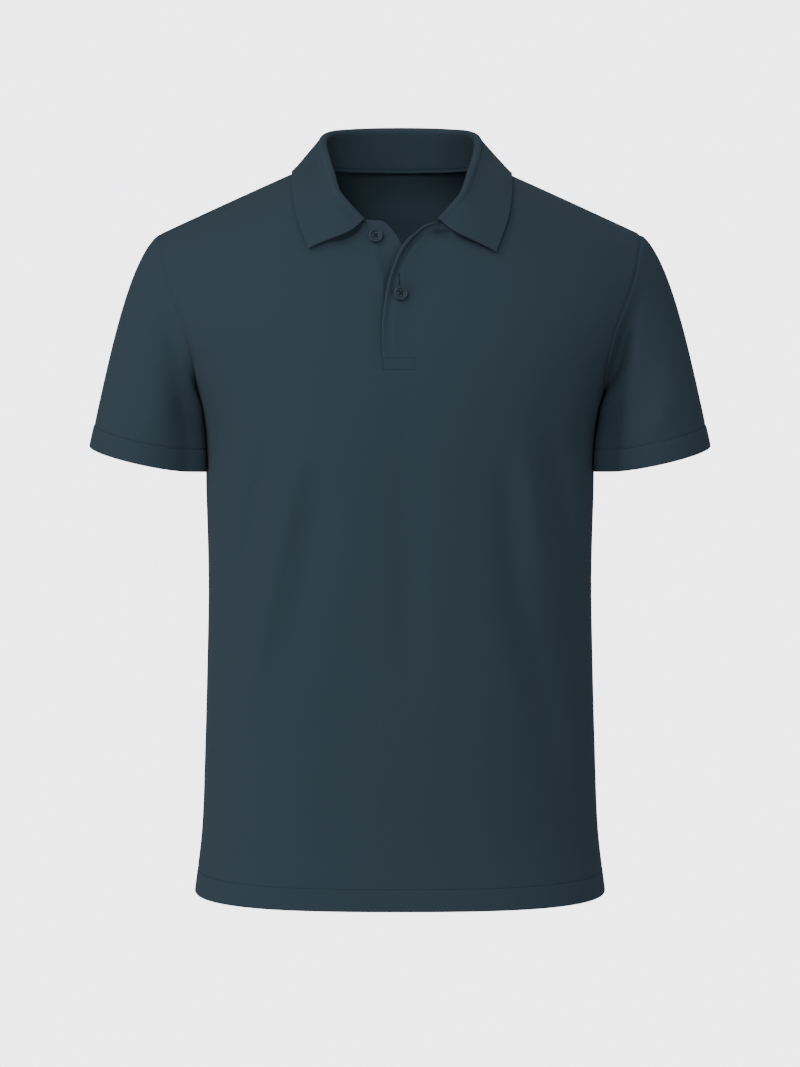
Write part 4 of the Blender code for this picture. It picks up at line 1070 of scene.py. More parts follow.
# %% The two halves beside the strip
def coarse_opening(table, column):
    """One edge of an opening table as coarse places from the hem up."""
    rows = table_at(table, np.linspace(0, 1, ARM_ROWS + 1))
    edge = locate(rows[:, column], rows[:, column + 1])
    lower = np.stack([np.full(SIDE_ROWS + 1, edge[0, 0]), body_rows(edge[0, 1])], axis=1)
    return np.vstack([lower, edge[1:]])


def front_half(side, table, column, inner):
    """One half of the front as places, from the side line to an edge of the opening.

    inner is its fine inner edge, which it meets exactly.
    """
    edge = coarse_opening(table, column)
    edge[-1] = neck_curve(side, NECK_COLUMNS)[-1]
    top = np.vstack([shoulder_line(side), neck_curve(side, NECK_COLUMNS)[1:]])
    places = patch(side_line(side), edge, top, HALF_STOPS, HALF_COLUMNS)
    reach = np.linspace(0, 1, len(HALF_COLUMNS))[None, :, None] ** 4
    return places + (inner - places[:, -1])[:, None] * reach


def under_edge():
    """The seam of the under placket as fine places, from the hem up."""
    rows = table_at(UNDER_PLACKET, ARM_SHARES)
    edge = locate(rows[:, 0], rows[:, 1])
    edge[-1] = neck_curve(-1, NECK_COLUMNS)[-1]
    return np.vstack([with_lower_line(edge[0])[:-1], edge])


left_places = front_half(-1, UNDER_PLACKET, 0, under_edge())
right_places = front_half(1, OPENING, 2, STRIP_PLACES[:, -1])[:, ::-1]
left, left_normals = body_at(left_places, -1, FRONT_CREASES)
right, right_normals = body_at(right_places, -1, FRONT_CREASES)
points = np.concatenate([left, STRIP, right[:, 1:]], axis=1)
normals = np.concatenate([left_normals, STRIP_NORMALS, right_normals[:, 1:]], axis=1)
slit = left.shape[1] - 1
cells = np.ones((len(points) - 1, points.shape[1] - 1), bool)
cells[ARM_START:, slit] = False
print("front grid:", points.shape[:2], "with the slit after column", slit)

# %% Let the front in along its seams
SIDE_DIP, SHOULDER_DIP, NECK_DIP = 0.0005, 0.0006, 0.0005
ARM_DIPS = {-1: 0.0004, 1: 0.0011}  # one armhole is pulled tighter than the other
SHOULDER_PART = 0.55  # a half's shoulder takes up this share of its columns


def seam_way(normals, face, side):
    """The direction to dip in along one side of a panel, the common one at the armhole."""
    edge = normals[:, 0 if side < 0 else -1].copy()
    edge[ARM_START:] = arm_shared(face, side)
    return edge[:, None]


ahead, behind, below_top = seam_gaps(points)
row, column = PANEL_ROWS[:, None], np.arange(points.shape[1])
seams = {side: np.where(row > SIDE_ROWS, ARM_DIPS[side], SIDE_DIP) for side in (-1, 1)}
on_shoulder = len(HALF_COLUMNS) * SHOULDER_PART
at_shoulder = (column < on_shoulder) | (column > points.shape[1] - on_shoulder)
points = dipped(points, seam_way(normals, -1, -1), ahead, seams[-1])
points = dipped(points, seam_way(normals, -1, 1), behind, seams[1])
points = dipped(points, normals, below_top, np.where(at_shoulder, SHOULDER_DIP, NECK_DIP)[None, :])
print("dips at the armholes, mm:", [1000 * ARM_DIPS[side] for side in (1, -1)])

# %% Sink the half under the fold
SUNK_WIDTH = 0.0070  # it sinks over this width beside the fold
SUNK_FOOT, SUNK_FULL = 0.4, 0.45  # by this share at the foot, and fully from this share of the height

sunk = np.zeros(len(points))
least = SUNK_FOOT + (1 - SUNK_FOOT) * smooth(ARM_SHARES / SUNK_FULL)
deepest = np.minimum(-table_at(UNDER_PLACKET, ARM_SHARES)[:, 4], STRIP_RISE)
sunk[ARM_START:] = deepest * smooth(ARM_SHARES / RISE_FROM) * least
half = slice(0, slit + 1)
to_slit = lengths(points[:, half], 1)
to_slit = to_slit[:, -1:] - to_slit
points[:, half] = dipped(points[:, half], normals[:, half], to_slit, sunk[:, None], SUNK_WIDTH)
print("sunk by up to %.1f mm" % (sunk.max() * 1000))

# %% Make the front
HEM_DIP, HEM_WIDTH = 0.00035, 0.0013
HEM_STEP = 0.0004  # the doubled cloth of the hem ends this far above its stitches


def hemmed(points, normals):
    """A panel let in along the hem's stitches, and the share of the hem's thickness at each point."""
    gap = hem_gaps(points)
    share = np.where(gap < HEM_STEP, 1.0, CLOTH / HEM_CLOTH)
    return dipped(points, normals, gap, HEM_DIP, HEM_WIDTH), share


FRONT_POINTS, thin = hemmed(points, normals)
FRONT_NORMALS = normals
cloth_piece("cloth_front", FRONT_POINTS, FRONT_NORMALS, HEM_CLOTH, present=cells, thin=thin)

# %% [markdown]
# ## The back panel
#
# The back is one uncut panel. It meets the front at the shoulders and the sides, and its neckline dips
# only a little, because the collar stands up on it. The same hem and dips are used, with folds of its
# own, so one set of helpers makes both panels.

# %% Build the back panel
shoulders = shoulder_line(-1), shoulder_line(1)[::-1]
top = np.vstack([shoulders[0], back_neck_curve(BACK_NECK_COLUMNS)[1:-1], shoulders[1]])
places = patch(side_line(-1), side_line(1), top, BACK_STOPS, BACK_COLUMNS)
points, normals = body_at(places, 1, BACK_CREASES)
ahead, behind, below_top = seam_gaps(points)
on_neck = (BACK_COLUMNS > BACK_STOPS[1]) & (BACK_COLUMNS < BACK_STOPS[2])
points = dipped(points, seam_way(normals, 1, -1), ahead, seams[-1])
points = dipped(points, seam_way(normals, 1, 1), behind, seams[1])
points = dipped(points, normals, below_top, np.where(on_neck, NECK_DIP, SHOULDER_DIP)[None, :])
BACK_POINTS, thin = hemmed(points, normals)
BACK_NORMALS = normals
cloth_piece("cloth_back", BACK_POINTS, BACK_NORMALS, HEM_CLOTH, thin=thin)

# %% [markdown]
# ## The sleeves
#
# Each sleeve is a tube of the same knit. Loose sleeves drag in soft diagonals from the armhole towards
# the cuff, and the two sides never match, so each has folds of its own. The left one is also drawn back
# a little at its inner front, under the arm. Both are built as if for the wearer's left, and the right
# one is then mirrored, so one set of helpers serves both.

# %% The folds of the sleeves
SLEEVE_FOLDS = {
    1: [
        Fold(0.262, -0.196, 0.236, -0.278, 0.010, 0.0016),
        Fold(0.245, -0.180, 0.214, -0.255, 0.012, -0.0016),
        Fold(0.226, -0.118, 0.246, -0.190, 0.011, -0.0010),
    ],
    -1: [
        Fold(-0.221, -0.128, -0.197, -0.262, 0.010, -0.0026),
        Fold(-0.240, -0.130, -0.222, -0.262, 0.013, 0.0016),
        Fold(-0.268, -0.200, -0.246, -0.268, 0.011, -0.0012),
    ],
}
SLEEVE_BACK_FOLDS = [
    Fold(0.232, -0.120, 0.208, -0.245, 0.012, -0.0030),
    Fold(0.256, -0.150, 0.236, -0.262, 0.013, 0.0018),
]
LEFT_TUCK = Fold(0.2170, -0.125, 0.1790, -0.335, 0.0095, 0.0160)  # how the left one is drawn back
CUFF_TUCK = 0.35  # the cuff is stiffer, so it is drawn back only this share of it
print("folds of a sleeve:", len(SLEEVE_FOLDS[1]), "in front and", len(SLEEVE_BACK_FOLDS), "behind")

# %% The shape of a sleeve
EDGE_GAP = 0.00006  # between the sleeve's first row and the body's last
SLEEVE_END_DIP, SLEEVE_END_WIDTH = 0.0005, 0.0016
FOLDS_FADE, FOLDS_SIDE = 6, 1.6  # folds fade in over a sixth of the length, and off the sides
TUCK_SIDE = 2.5
HUG_SHARE = 0.10


def tucked(points, side, share):
    """The points with the left sleeve's inner front drawn back. share fades this in."""
    back = fold_height([LEFT_TUCK], points[..., 0], points[..., 2])
    back = back * smooth(TUCK_SIDE * np.sin(TURNS)) * share
    return points + back[..., None] * np.array([0, 1, 0]) if side > 0 else points


def folded_sleeve(side):
    """The sleeve's points and outward directions, as if for the left, with the given side's folds."""
    points = sleeve_points(ARM_POINTS, ARM_BODY, SLEEVE_SHARES)
    normals = tube_normals(points)
    x, z = points[..., 0], points[..., 2]
    in_front = fold_height(SLEEVE_FOLDS[side], x * side, z)
    lift = np.where(normals[..., 1] < 0, in_front, fold_height(SLEEVE_BACK_FOLDS, x, z))
    down = SLEEVE_SHARES[:, None]
    fade = smooth(np.abs(normals[..., 1]) * FOLDS_SIDE) * smooth(down * FOLDS_FADE)
    fade = fade * smooth((1 - down) * FOLDS_FADE)
    tuck_share = smooth(down * FOLDS_FADE) * (1 - (1 - CUFF_TUCK) * smooth(down * 2 - 1))
    points = tucked(points + normals * (lift * fade)[..., None], side, tuck_share)
    points = hugging(points, smooth(down / HUG_SHARE))
    return points, tube_normals(points)


def build_sleeve(side, name):
    """One sleeve, let in along the armhole and above the cuff."""
    points, normals = folded_sleeve(side)
    down = lengths(points, 0)
    points = dipped(points, ARM_SHARED[None], down, ARM_DIPS[side])
    points = dipped(points, normals, down[-1:] - down, SLEEVE_END_DIP, SLEEVE_END_WIDTH)
    points[0] += sleeve_way() * EDGE_GAP
    mirror = np.array([side, 1, 1])
    cloth_piece("cloth_sleeve_" + name, points * mirror, normals * mirror, CLOTH, closed=True)


along_top = lengths(sleeve_points(ARM_POINTS, ARM_BODY, SLEEVE_SHARES), 0)[-1, ARM_TOP]
print("a sleeve is %.3f m long from the shoulder point to the cuff" % along_top)

# %% [markdown]
# ## The cuffs
#
# The cuff is a band of flat knit, sewn on a little fuller than the sleeve, which gives the small step at
# its seam. Its upper edge runs a hair into the sleeve, so that no light shows between them. It is built
# ring by ring, with the rings closest where it curves in at its two edges. Each side's sleeve and cuff
# are then built together.

# %% Build the sleeves and cuffs
CUFF_FULLER = 0.0006
CUFF_LAP = 0.0002  # it runs this far into the sleeve
CUFF_UPS = np.array(
    [CUFF_DEPTH + CUFF_LAP, 0.0204, 0.0198, 0.019, 0.017, 0.0145, 0.012, 0.009, 0.006, 0.0035]
    + [0.0016, 0.0005, 0]
)
CUFF_MIDDLE = 5  # the ring whose directions serve the whole band
CUFF_DIP_TOP, CUFF_DIP_WIDTH = 0.0007, 0.0013
CUFF_DIP_LOW, CUFF_LOW_WIDTH = 0.0004, 0.0009


def build_cuff(side, name):
    """One cuff, let in at its seam and rounded in at its lower edge."""
    band = np.array([cuff_ring(up, CUFF_FULLER) for up in CUFF_UPS])
    band = hugging(tucked(band, side, CUFF_TUCK), 1.0)
    one_ring = tube_normals(band)[CUFF_MIDDLE : CUFF_MIDDLE + 1]
    normals = np.repeat(one_ring, len(CUFF_UPS), axis=0)
    down = lengths(band, 0)
    band = dipped(band, normals, down, CUFF_DIP_TOP, CUFF_DIP_WIDTH)
    band -= normals * CUFF_DIP_LOW * bell(down[-1:] - down, CUFF_LOW_WIDTH)[..., None]
    mirror = np.array([side, 1, 1])
    cloth_piece("cloth_cuff_" + name, band * mirror, normals * mirror, RIB_CLOTH, closed=True)


for side, name in ((1, "left"), (-1, "right")):
    build_sleeve(side, name)
    build_cuff(side, name)

# %% [markdown]
# ## The neckline and the collar
#
# The collar is knitted flat, to its finished shape, and sewn to the neckline by its lower edge. From
# there it stands up, turns over its crest in a tight soft roll and falls outwards. Two lines steer it:
# the crest and the free edge, given at stations from the middle of the back to each front end. Every
# cross-section is then drawn between them. A flat sheet draped by a simulation would also fall like
# this, but its corners would not come out where they are wanted.

# %% The collar's stations
Station = namedtuple("Station", "fold_x fold_y fold_z edge_x edge_y edge_z")
COLLAR = {
    1: [
        Station(0.0000, 0.0755, 0.0280, 0.0000, 0.0928, -0.0205),
        Station(0.0250, 0.0735, 0.0278, 0.0345, 0.0878, -0.0203),
        Station(0.0480, 0.0655, 0.0272, 0.0660, 0.0755, -0.0195),
        Station(0.0665, 0.0480, 0.0260, 0.0905, 0.0575, -0.0184),
        Station(0.0740, 0.0200, 0.0210, 0.1040, 0.0300, -0.0134),
        Station(0.0717, -0.0120, 0.0068, 0.1055, -0.0080, -0.0131),
        Station(0.0669, -0.0430, -0.0050, 0.1048, -0.0415, -0.0273),
        Station(0.0575, -0.0665, -0.0265, 0.1008, -0.0680, -0.0500),
        Station(0.0362, -0.0800, -0.0470, 0.0895, -0.0860, -0.0800),
    ],
    -1: [
        Station(0.0000, 0.0755, 0.0280, 0.0000, 0.0928, -0.0205),
        Station(-0.0250, 0.0735, 0.0278, -0.0345, 0.0878, -0.0203),
        Station(-0.0480, 0.0655, 0.0271, -0.0655, 0.0755, -0.0193),
        Station(-0.0660, 0.0480, 0.0258, -0.0880, 0.0590, -0.0182),
        Station(-0.0735, 0.0200, 0.0208, -0.1005, 0.0300, -0.0125),
        Station(-0.0700, -0.0120, 0.0068, -0.1020, -0.0050, -0.0112),
        Station(-0.0650, -0.0430, -0.0060, -0.1002, -0.0440, -0.0277),
        Station(-0.0570, -0.0665, -0.0255, -0.0952, -0.0695, -0.0500),
        Station(-0.0335, -0.0800, -0.0476, -0.0852, -0.0855, -0.0768),
    ],
}
crest = np.array(COLLAR[1])[::-1, :3]
print("the crest's left half: %.3f m" % distances(crest)[-1])

# %% The neckline
Neckline = namedtuple("Neckline", "points normals bodyward crest edge along")
STEADY_ENDS = (0.004, 0.008)  # over these lengths at its ends the directions are held
FIRST_OUT = 0.2  # the neckline starts this share of the roll beyond the fold


def neck_fine(curve, columns, start, face, creases):
    """A coarse neckline curve read at a panel's own columns, as points and directions."""
    at = columns[(columns >= start) & (columns <= start + len(curve) - 1)] - start
    return body_at(read_along(curve, 0, at, (0, len(curve) - 1)), face, creases)


def neckline_points():
    """The neckline from the folded edge round the back to its end, and its two shoulder points."""
    edge = STRIP[-1, ROLL_STEPS:], STRIP_NORMALS[-1, ROLL_STEPS:]
    first = edge[0][:1] + STRIP_OUT[-1:] * FOLD_ROLL * FIRST_OUT, edge[1][:1]
    half = HALF_COLUMNS, SHOULDER_COLUMNS, -1, FRONT_CREASES
    left, right = (neck_fine(neck_curve(side, NECK_COLUMNS), *half) for side in (1, -1))
    whole = BACK_COLUMNS, SHOULDER_COLUMNS, 1, BACK_CREASES
    behind = neck_fine(back_neck_curve(BACK_NECK_COLUMNS), *whole)
    parts = [(first[k], edge[k], left[k][-2::-1], behind[k][-2::-1], right[k][1:]) for k in (0, 1)]
    points, body = (np.vstack(part) for part in parts)
    high = len(edge[0]) + len(left[0]) - 1
    return points, body, high, high + len(behind[0]) - 1


def find_neckline():
    """The neckline, with the collar's crest and free edge beside each of its points."""
    points, body, high, low = neckline_points()
    along = distances(points)
    stops = [0, along[high], (along[high] + along[low]) / 2, along[low], along[-1]]
    steps = np.interp(along, stops, [2, 1, 0, -1, -2])
    rows = np.array([spline(COLLAR[1 if step > 0 else -1], abs(step) * 4) for step in steps])
    crest, free = rows[:, :3], rows[:, 3:]
    tangent = unit(np.gradient(points, axis=0))
    rise = crest - points
    normals = unit(body + facing_out(unit(np.cross(tangent, rise)), points))
    for near in (along < STEADY_ENDS[0], along > along[-1] - STEADY_ENDS[1]):
        normals[near] = normals[np.flatnonzero(~near)[0 if near[0] else -1]]
    bodyward = -facing_out(unit(np.cross(tangent, normals)), rise)
    return Neckline(points, normals, bodyward, crest, free, along / along[-1])


NECKLINE = find_neckline()
print("neckline round: %.3f m" % distances(NECKLINE.points)[-1])

# %% The collar's section
ROLL, BELLY = 0.0031, 0.0014  # the radius of its roll, and how far the fall swells
COLLAR_GAP, END_CLEAR = 0.0003, 0.0008
CORNER_WIDTH = 0.016  # near its corners the leaf hangs a little lower and stands off the body
CORNER_DROP, CORNER_LIFT, CORNER_TUCK = 0.0030, 0.0030, 0.0015
ROLL_ANGLES = np.radians(np.linspace(180, 0, 9))
STAND_SHARES = np.array([0, 0.06, 0.14, 0.25, 0.38, 0.52, 0.66, 0.8, 0.91])
FALL_SHARES = np.array(
    [0.05, 0.1, 0.16, 0.22, 0.29, 0.36, 0.43, 0.5, 0.57, 0.64, 0.71, 0.78, 0.84, 0.89]
    + [0.93, 0.96, 0.98, 1]
)
Ways = namedtuple("Ways", "tangent level above corner drop")


def collar_ways(line):
    """The directions along the crest, outwards and up, and how near each point is to a corner."""
    tangent = unit(np.gradient(line.crest, axis=0))
    level = facing_out(unit(np.cross(tangent, (0, 0, 1.0))), line.edge - line.crest)
    above = facing_out(unit(np.cross(level, tangent)), np.array([0, 0, 1.0]))
    along = distances(line.crest)
    corner = (bell(along, CORNER_WIDTH) + bell(along[-1] - along, CORNER_WIDTH))[:, None]
    return Ways(tangent, level, above, corner, corner * np.array([0, 0, -CORNER_DROP]))


def stand_rows(line, ways):
    """The rows of the stand, from the seam up to the roll."""
    clear = COLLAR_GAP + END_CLEAR * (2 * line.along[:, None] - 1) ** 8
    foot = line.points - line.bodyward * clear - line.normals * RIB_CLOTH / 2
    foot = foot + ways.drop + ways.corner * np.array([0, CORNER_TUCK, 0])
    start = line.crest - ways.level * ROLL - ways.above * ROLL + ways.drop
    return [foot + (start - foot) * t for t in STAND_SHARES]


def roll_rows(line, ways):
    """The rows of the roll, over the crest."""
    rows = []
    for turn in ROLL_ANGLES:
        out = ways.level * ROLL * math.cos(turn)
        rows.append(line.crest + ways.drop + out + ways.above * ROLL * (math.sin(turn) - 1))
    return rows


print("rows of the stand, the roll and the fall:", len(STAND_SHARES), len(ROLL_ANGLES), len(FALL_SHARES))

# %% Build the collar
FALL_OUT, FALL_DOWN = 0.55, 0.78  # the way that the fall leaves the roll
BULGE_AT = 0.3  # near its corners it stands off the body most at this share of its length


def fall_rows(line, ways, last):
    """The rows of the fall, from the last row of the roll down to the free edge."""
    chord = line.edge - last
    length = np.linalg.norm(chord, axis=1, keepdims=True)
    out = unit(ways.level * FALL_OUT - ways.above * FALL_DOWN)
    swell = facing_out(unit(np.cross(ways.tangent, chord)), np.array([0, 0, 1.0]))
    rows = []
    for t in FALL_SHARES:
        h10, h01, h11 = t**3 - 2 * t**2 + t, 3 * t**2 - 2 * t**3, t**3 - t**2
        curve = last + h10 * out * length + h01 * chord + h11 * unit(chord) * length
        bulge = ways.corner * np.array([0, -CORNER_LIFT, -CORNER_DROP / 3])
        bulge = bulge * (t / BULGE_AT) * math.exp(1 - t / BULGE_AT)
        swollen = curve + swell * BELLY * math.sin(math.pi * t)
        rows.append(swollen + bulge + ways.drop * (1 - smooth(t)))
    return rows


ways = collar_ways(NECKLINE)
up_and_over = stand_rows(NECKLINE, ways) + roll_rows(NECKLINE, ways)
falling = fall_rows(NECKLINE, ways, up_and_over[-1] - ways.drop)
COLLAR_MIDDLE = np.array(up_and_over + falling)
COLLAR_NORMALS = sheet_normals(COLLAR_MIDDLE)
if (COLLAR_NORMALS[2] * NECKLINE.normals).sum() < 0:
    COLLAR_NORMALS = -COLLAR_NORMALS
cloth_piece("cloth_collar", COLLAR_MIDDLE, COLLAR_NORMALS, RIB_CLOTH, offset=0.0)

# %% [markdown]
# ## The facing
#
# The facing is the hidden half of the folded front. It carries on from the roll and lies flat behind the
# strip, so its points are the strip's own, moved back by the width of the roll. It is a piece of its
# own, because one sheet can't have its thickness on both sides. Its upper end draws back behind the lip.

# %% Build the facing
FACING_CLOTH = 0.0010
FACING_BEHIND = 2 * FOLD_ROLL
FACING_TOP, FACING_FADE = 0.87, 0.10  # where it ends, and over what share it draws back
FACING_TURNS = np.radians(np.linspace(93, 180, 6))
FACING_FOOT = 3  # it starts this many rows above the foot of the opening
FACING_END_IN = 0.5  # its last row is drawn back by this share of a cell
facing_end = int(np.searchsorted(ARM_SHARES, FACING_TOP))
FACING_ROWS = slice(ARM_START + FACING_FOOT, ARM_START + facing_end)
start = STRIP[FACING_ROWS, ROLL_STEPS]
way, first = STRIP_OUT[FACING_ROWS], STRIP_NORMALS[FACING_ROWS, ROLL_STEPS]
shares = ARM_SHARES[FACING_FOOT:facing_end, None]
way_in = way * smooth((FACING_TOP - shares) / FACING_FADE)
bent, bent_normals = [], []
for turn in FACING_TURNS:
    forward = way_in * FOLD_ROLL * math.sin(turn)
    bent.append(start + forward + first * FOLD_ROLL * (math.cos(turn) - 1))
    bent_normals.append(first * math.cos(turn) + way * math.sin(turn))
flat, flat_normals = (grid[FACING_ROWS, ROLL_STEPS + 1 :] for grid in (STRIP, STRIP_NORMALS))
facing = np.concatenate([np.stack(bent, axis=1), flat - flat_normals * FACING_BEHIND], axis=1)
facing_normals = np.concatenate([np.stack(bent_normals, axis=1), -flat_normals], axis=1)
facing[-1] += (facing[-2] - facing[-1]) * FACING_END_IN
cloth_piece("cloth_facing", facing, facing_normals, FACING_CLOTH)

# %% [markdown]
# ## The under placket
#
# The buttons are sewn to a strip of its own on the wearer's right. It is doubled cloth, so it is thicker,
# and it comes out from under the fold where the neck opens. Its sewn edge follows the panel's seam and
# laps a little onto the panel, and its other edge hangs free.

# %% Build the under placket
PLACKET_CLOTH, PLACKET_COLUMNS = 0.0016, 19
PLACKET_LAP, LAP_WIDTH = 0.0005, 0.004  # its sewn edge lies on the panel
LAP_FROM, LAP_FADE = 0.35, 0.2  # from this share of the height up
PLACKET_POWER = 2.5  # how fast it sinks from its sewn edge to its free edge
PLACKET_CLEAR = 0.00004
PLACKET_FOOT_UP, PLACKET_TOP_IN = 0.0004, 0.2  # its ends keep clear of the panel and the collar

rows = table_at(UNDER_PLACKET, ARM_SHARES)[:, None]
s = np.linspace(0, 1, PLACKET_COLUMNS)[None, :]
x = rows[..., 0] * (1 - s) + rows[..., 2] * s
z = rows[..., 1] * (1 - s) + rows[..., 3] * s
points, normals = body_at(locate(x, z), -1, FRONT_CREASES)
off = rows[..., 5] + (rows[..., 4] - rows[..., 5]) * (1 - s) ** PLACKET_POWER
points += normals * off[..., None]
seam_line = body_at(under_edge()[ARM_START:], -1, FRONT_CREASES)
points[:, 0] = seam_line[0] + seam_line[1] * rows[:, 0, 4:5]
PLACKET_NORMALS = facing_out(sheet_normals(points), normals)
points[:, 0] += unit(points[:, 1] - points[:, 0]) * PLACKET_CLEAR
lapped = PLACKET_LAP * smooth((ARM_SHARES[:, None] - LAP_FROM) / LAP_FADE)
points += PLACKET_NORMALS * (lapped * bell(seam_gaps(points)[0], LAP_WIDTH))[..., None]
points[0, :, 2] += PLACKET_FOOT_UP
points[-1] += (points[-2] - points[-1]) * PLACKET_TOP_IN
PLACKET_POINTS = points
cloth_piece("cloth_placket_under", PLACKET_POINTS, PLACKET_NORMALS, PLACKET_CLOTH)

# %% [markdown]
# ## The neck tape
#
# The tape is a narrow band that covers the collar's seam inside the back neck, so that the raw edges
# don't rub. It lies on the inner side of the collar's stand, so it is built on the stand's own rows
# between the two shoulders, and lifted off them by its own thickness.

# %% Build the tape
TAPE_CLOTH = 0.0007
TAPE_FROM, TAPE_WIDTH = -0.0004, 0.0050  # from the seam up the collar's stand
TAPE_OVERHANG, TAPE_CLEAR = 0.0001, 0.0001
TAPE_SHARES = np.array([0, 0.1, 0.25, 0.5, 0.75, 0.9, 1])
covered = (BACK_COLUMNS >= BACK_STOPS[1] + 2) & (BACK_COLUMNS <= BACK_STOPS[2] - 1)
tape_ends = BACK_POINTS[-1, covered, 0][[0, -1]] + (-TAPE_OVERHANG, TAPE_OVERHANG)
across = NECKLINE.points[:, 0]
on_tape = (NECKLINE.points[:, 1] > SIDE_Y) & (across > tape_ends[0]) & (across < tape_ends[1])
foot, higher = COLLAR_MIDDLE[0, on_tape], COLLAR_MIDDLE[4, on_tape]
inwards = -COLLAR_NORMALS[1, on_tape]
over = unit(higher - foot)
lift = inwards * (RIB_CLOTH / 2 + TAPE_CLOTH + TAPE_CLEAR)
TAPE_POINTS = np.array([foot + over * (TAPE_FROM + share * TAPE_WIDTH) + lift for share in TAPE_SHARES])
TAPE_NORMALS = np.repeat(inwards[None], len(TAPE_POINTS), axis=0)
cloth_piece("cloth_neck_tape", TAPE_POINTS, TAPE_NORMALS, TAPE_CLOTH)

# %% [markdown]
# ## Thread
#
# Every stitch is a short piece of thread, and there are hundreds of them. One curve object for each would
# be slow, so many short capsules go into one mesh. A capsule is a few rings of six points, narrow at its
# two ends, and its ends can sink a little, as they do where thread goes into cloth.

# %% Capsules for thread
THREAD_SIDES, THREAD_RINGS = 6, (-1.0, -0.8, 0.8, 1.0)
THREAD_TIP = 0.45  # the width at a capsule's ends, as a share


def thread_mesh(name, starts, ends, ups, radius, sag=0.0):
    """One object of many short threads, each a capsule from its start to its end. sag sinks their ends."""
    starts, ends, ups = (np.asarray(values, float) for values in (starts, ends, ups))
    way = unit(ends - starts)
    side = unit(np.cross(ups, way))
    lift = np.cross(way, side)
    half = (np.linalg.norm(ends - starts, axis=1) / 2)[:, None]
    middle = (starts + ends) / 2
    turns = np.arange(THREAD_SIDES) * 2 * math.pi / THREAD_SIDES
    circle = side[:, None] * np.cos(turns)[:, None] + lift[:, None] * np.sin(turns)[:, None]
    rings = []
    for place in THREAD_RINGS:
        wide = radius * (THREAD_TIP if abs(place) == 1 else 1.0)
        centre = middle + way * half * place - lift * sag * abs(place) ** 4
        rings.append(centre[:, None] + wide * circle)
    points = np.stack(rings, axis=1)
    each = points.shape[1] * points.shape[2]
    number = np.arange(each).reshape(len(THREAD_RINGS), THREAD_SIDES)
    turned = np.roll(number, -1, axis=1)
    faces = np.stack([number[:-1], turned[:-1], turned[1:], number[1:]], axis=-1).reshape(-1, 4).tolist()
    faces += [number[0, ::-1].tolist(), number[-1].tolist()]
    every = [[corner + k * each for corner in face] for k in range(len(points)) for face in faces]
    return add_object(name, points.reshape(-1, 3), every, sharp=80)


print("a capsule has", THREAD_SIDES * len(THREAD_RINGS), "points")

# %% [markdown]
# ## The buttons
#
# A four-hole shirt button is a moulded disc, so it is turned like one: a profile from the middle of its
# top, over the raised rim, to the middle of its underside, spun round with a Screw modifier. A Boolean
# then drills the four holes. The sewing thread crosses between them and sinks into the recess.

# %% Turn a button
BUTTON_PROFILE = [
    (0.0000, 0.0012),
    (0.0024, 0.0012),
    (0.0038, 0.0013),
    (0.0043, 0.0017),
    (0.0046, 0.0025),
    (0.0051, 0.0029),
    (0.0058, 0.0029),
    (0.0064, 0.0025),
    (0.0067, 0.0016),
    (0.0064, 0.0007),
    (0.0054, 0.0000),
    (0.0000, 0.0000),
]
PROFILE_POINTS, BUTTON_SIDES = 31, 72


def seated(name, shape, seat):
    """An object of a bmesh, set on the button's seat."""
    mesh = bpy.data.meshes.new(name)
    shape.to_mesh(mesh)
    shape.free()
    thing = bpy.data.objects.new(name, mesh)
    thing.matrix_world = seat
    bpy.context.scene.collection.objects.link(thing)
    return thing


def turned_disc(name, seat):
    """The button's disc, its profile turned round its own axis."""
    fine = spline(BUTTON_PROFILE[1:-1], np.linspace(0, len(BUTTON_PROFILE) - 3, PROFILE_POINTS))
    outline = [BUTTON_PROFILE[0], *fine, BUTTON_PROFILE[-1]]
    profile = bmesh.new()
    rim = [profile.verts.new((radius, 0, height)) for radius, height in outline]
    for high, low in zip(rim, rim[1:]):
        profile.edges.new((high, low))
    button = seated("turned_button_" + name, profile, seat)
    spin = button.modifiers.new("turned", "SCREW")
    spin.steps = spin.render_steps = BUTTON_SIDES
    spin.use_merge_vertices = True
    spin.merge_threshold = 1e-5
    return button


widest = max(radius for radius, _ in BUTTON_PROFILE)
print("a button is %.1f mm across" % (2000 * widest))

# %% Drill its holes
HOLES = [(1, 1), (-1, 1), (-1, -1), (1, -1)]
BUTTON_HOLE, HOLE_SPREAD = 0.0015, 0.0015
DRILL_SIDES, DRILL_LONG = 20, 0.01


def drill(button, name, seat):
    """Takes four rods away from a button. The rods themselves are hidden."""
    rods = bmesh.new()
    for a, b in HOLES:
        bmesh.ops.create_cone(
            rods,
            cap_ends=True,
            segments=DRILL_SIDES,
            radius1=BUTTON_HOLE / 2,
            radius2=BUTTON_HOLE / 2,
            depth=DRILL_LONG,
            matrix=Matrix.Translation((a * HOLE_SPREAD, b * HOLE_SPREAD, 0)),
        )
    drills = seated("drills_" + name, rods, seat)
    drills.hide_render = drills.hide_viewport = True
    cut = button.modifiers.new("holes", "BOOLEAN")
    cut.operation = "DIFFERENCE"
    cut.object = drills


print("holes: %.1f mm wide, %.1f mm apart" % (1000 * BUTTON_HOLE, 2000 * HOLE_SPREAD))

# %% Sew it on
CROSS_UP, CROSS_SIDE = 0.00145, 0.00022  # the strands lie this high, and this far to each side
CROSS_THREAD, CROSS_SAG = 0.00024, 0.0004
CROSSES = ((0, 2, (1, -1, 0)), (1, 3, (1, 1, 0)))  # from hole to hole, and the way to each side


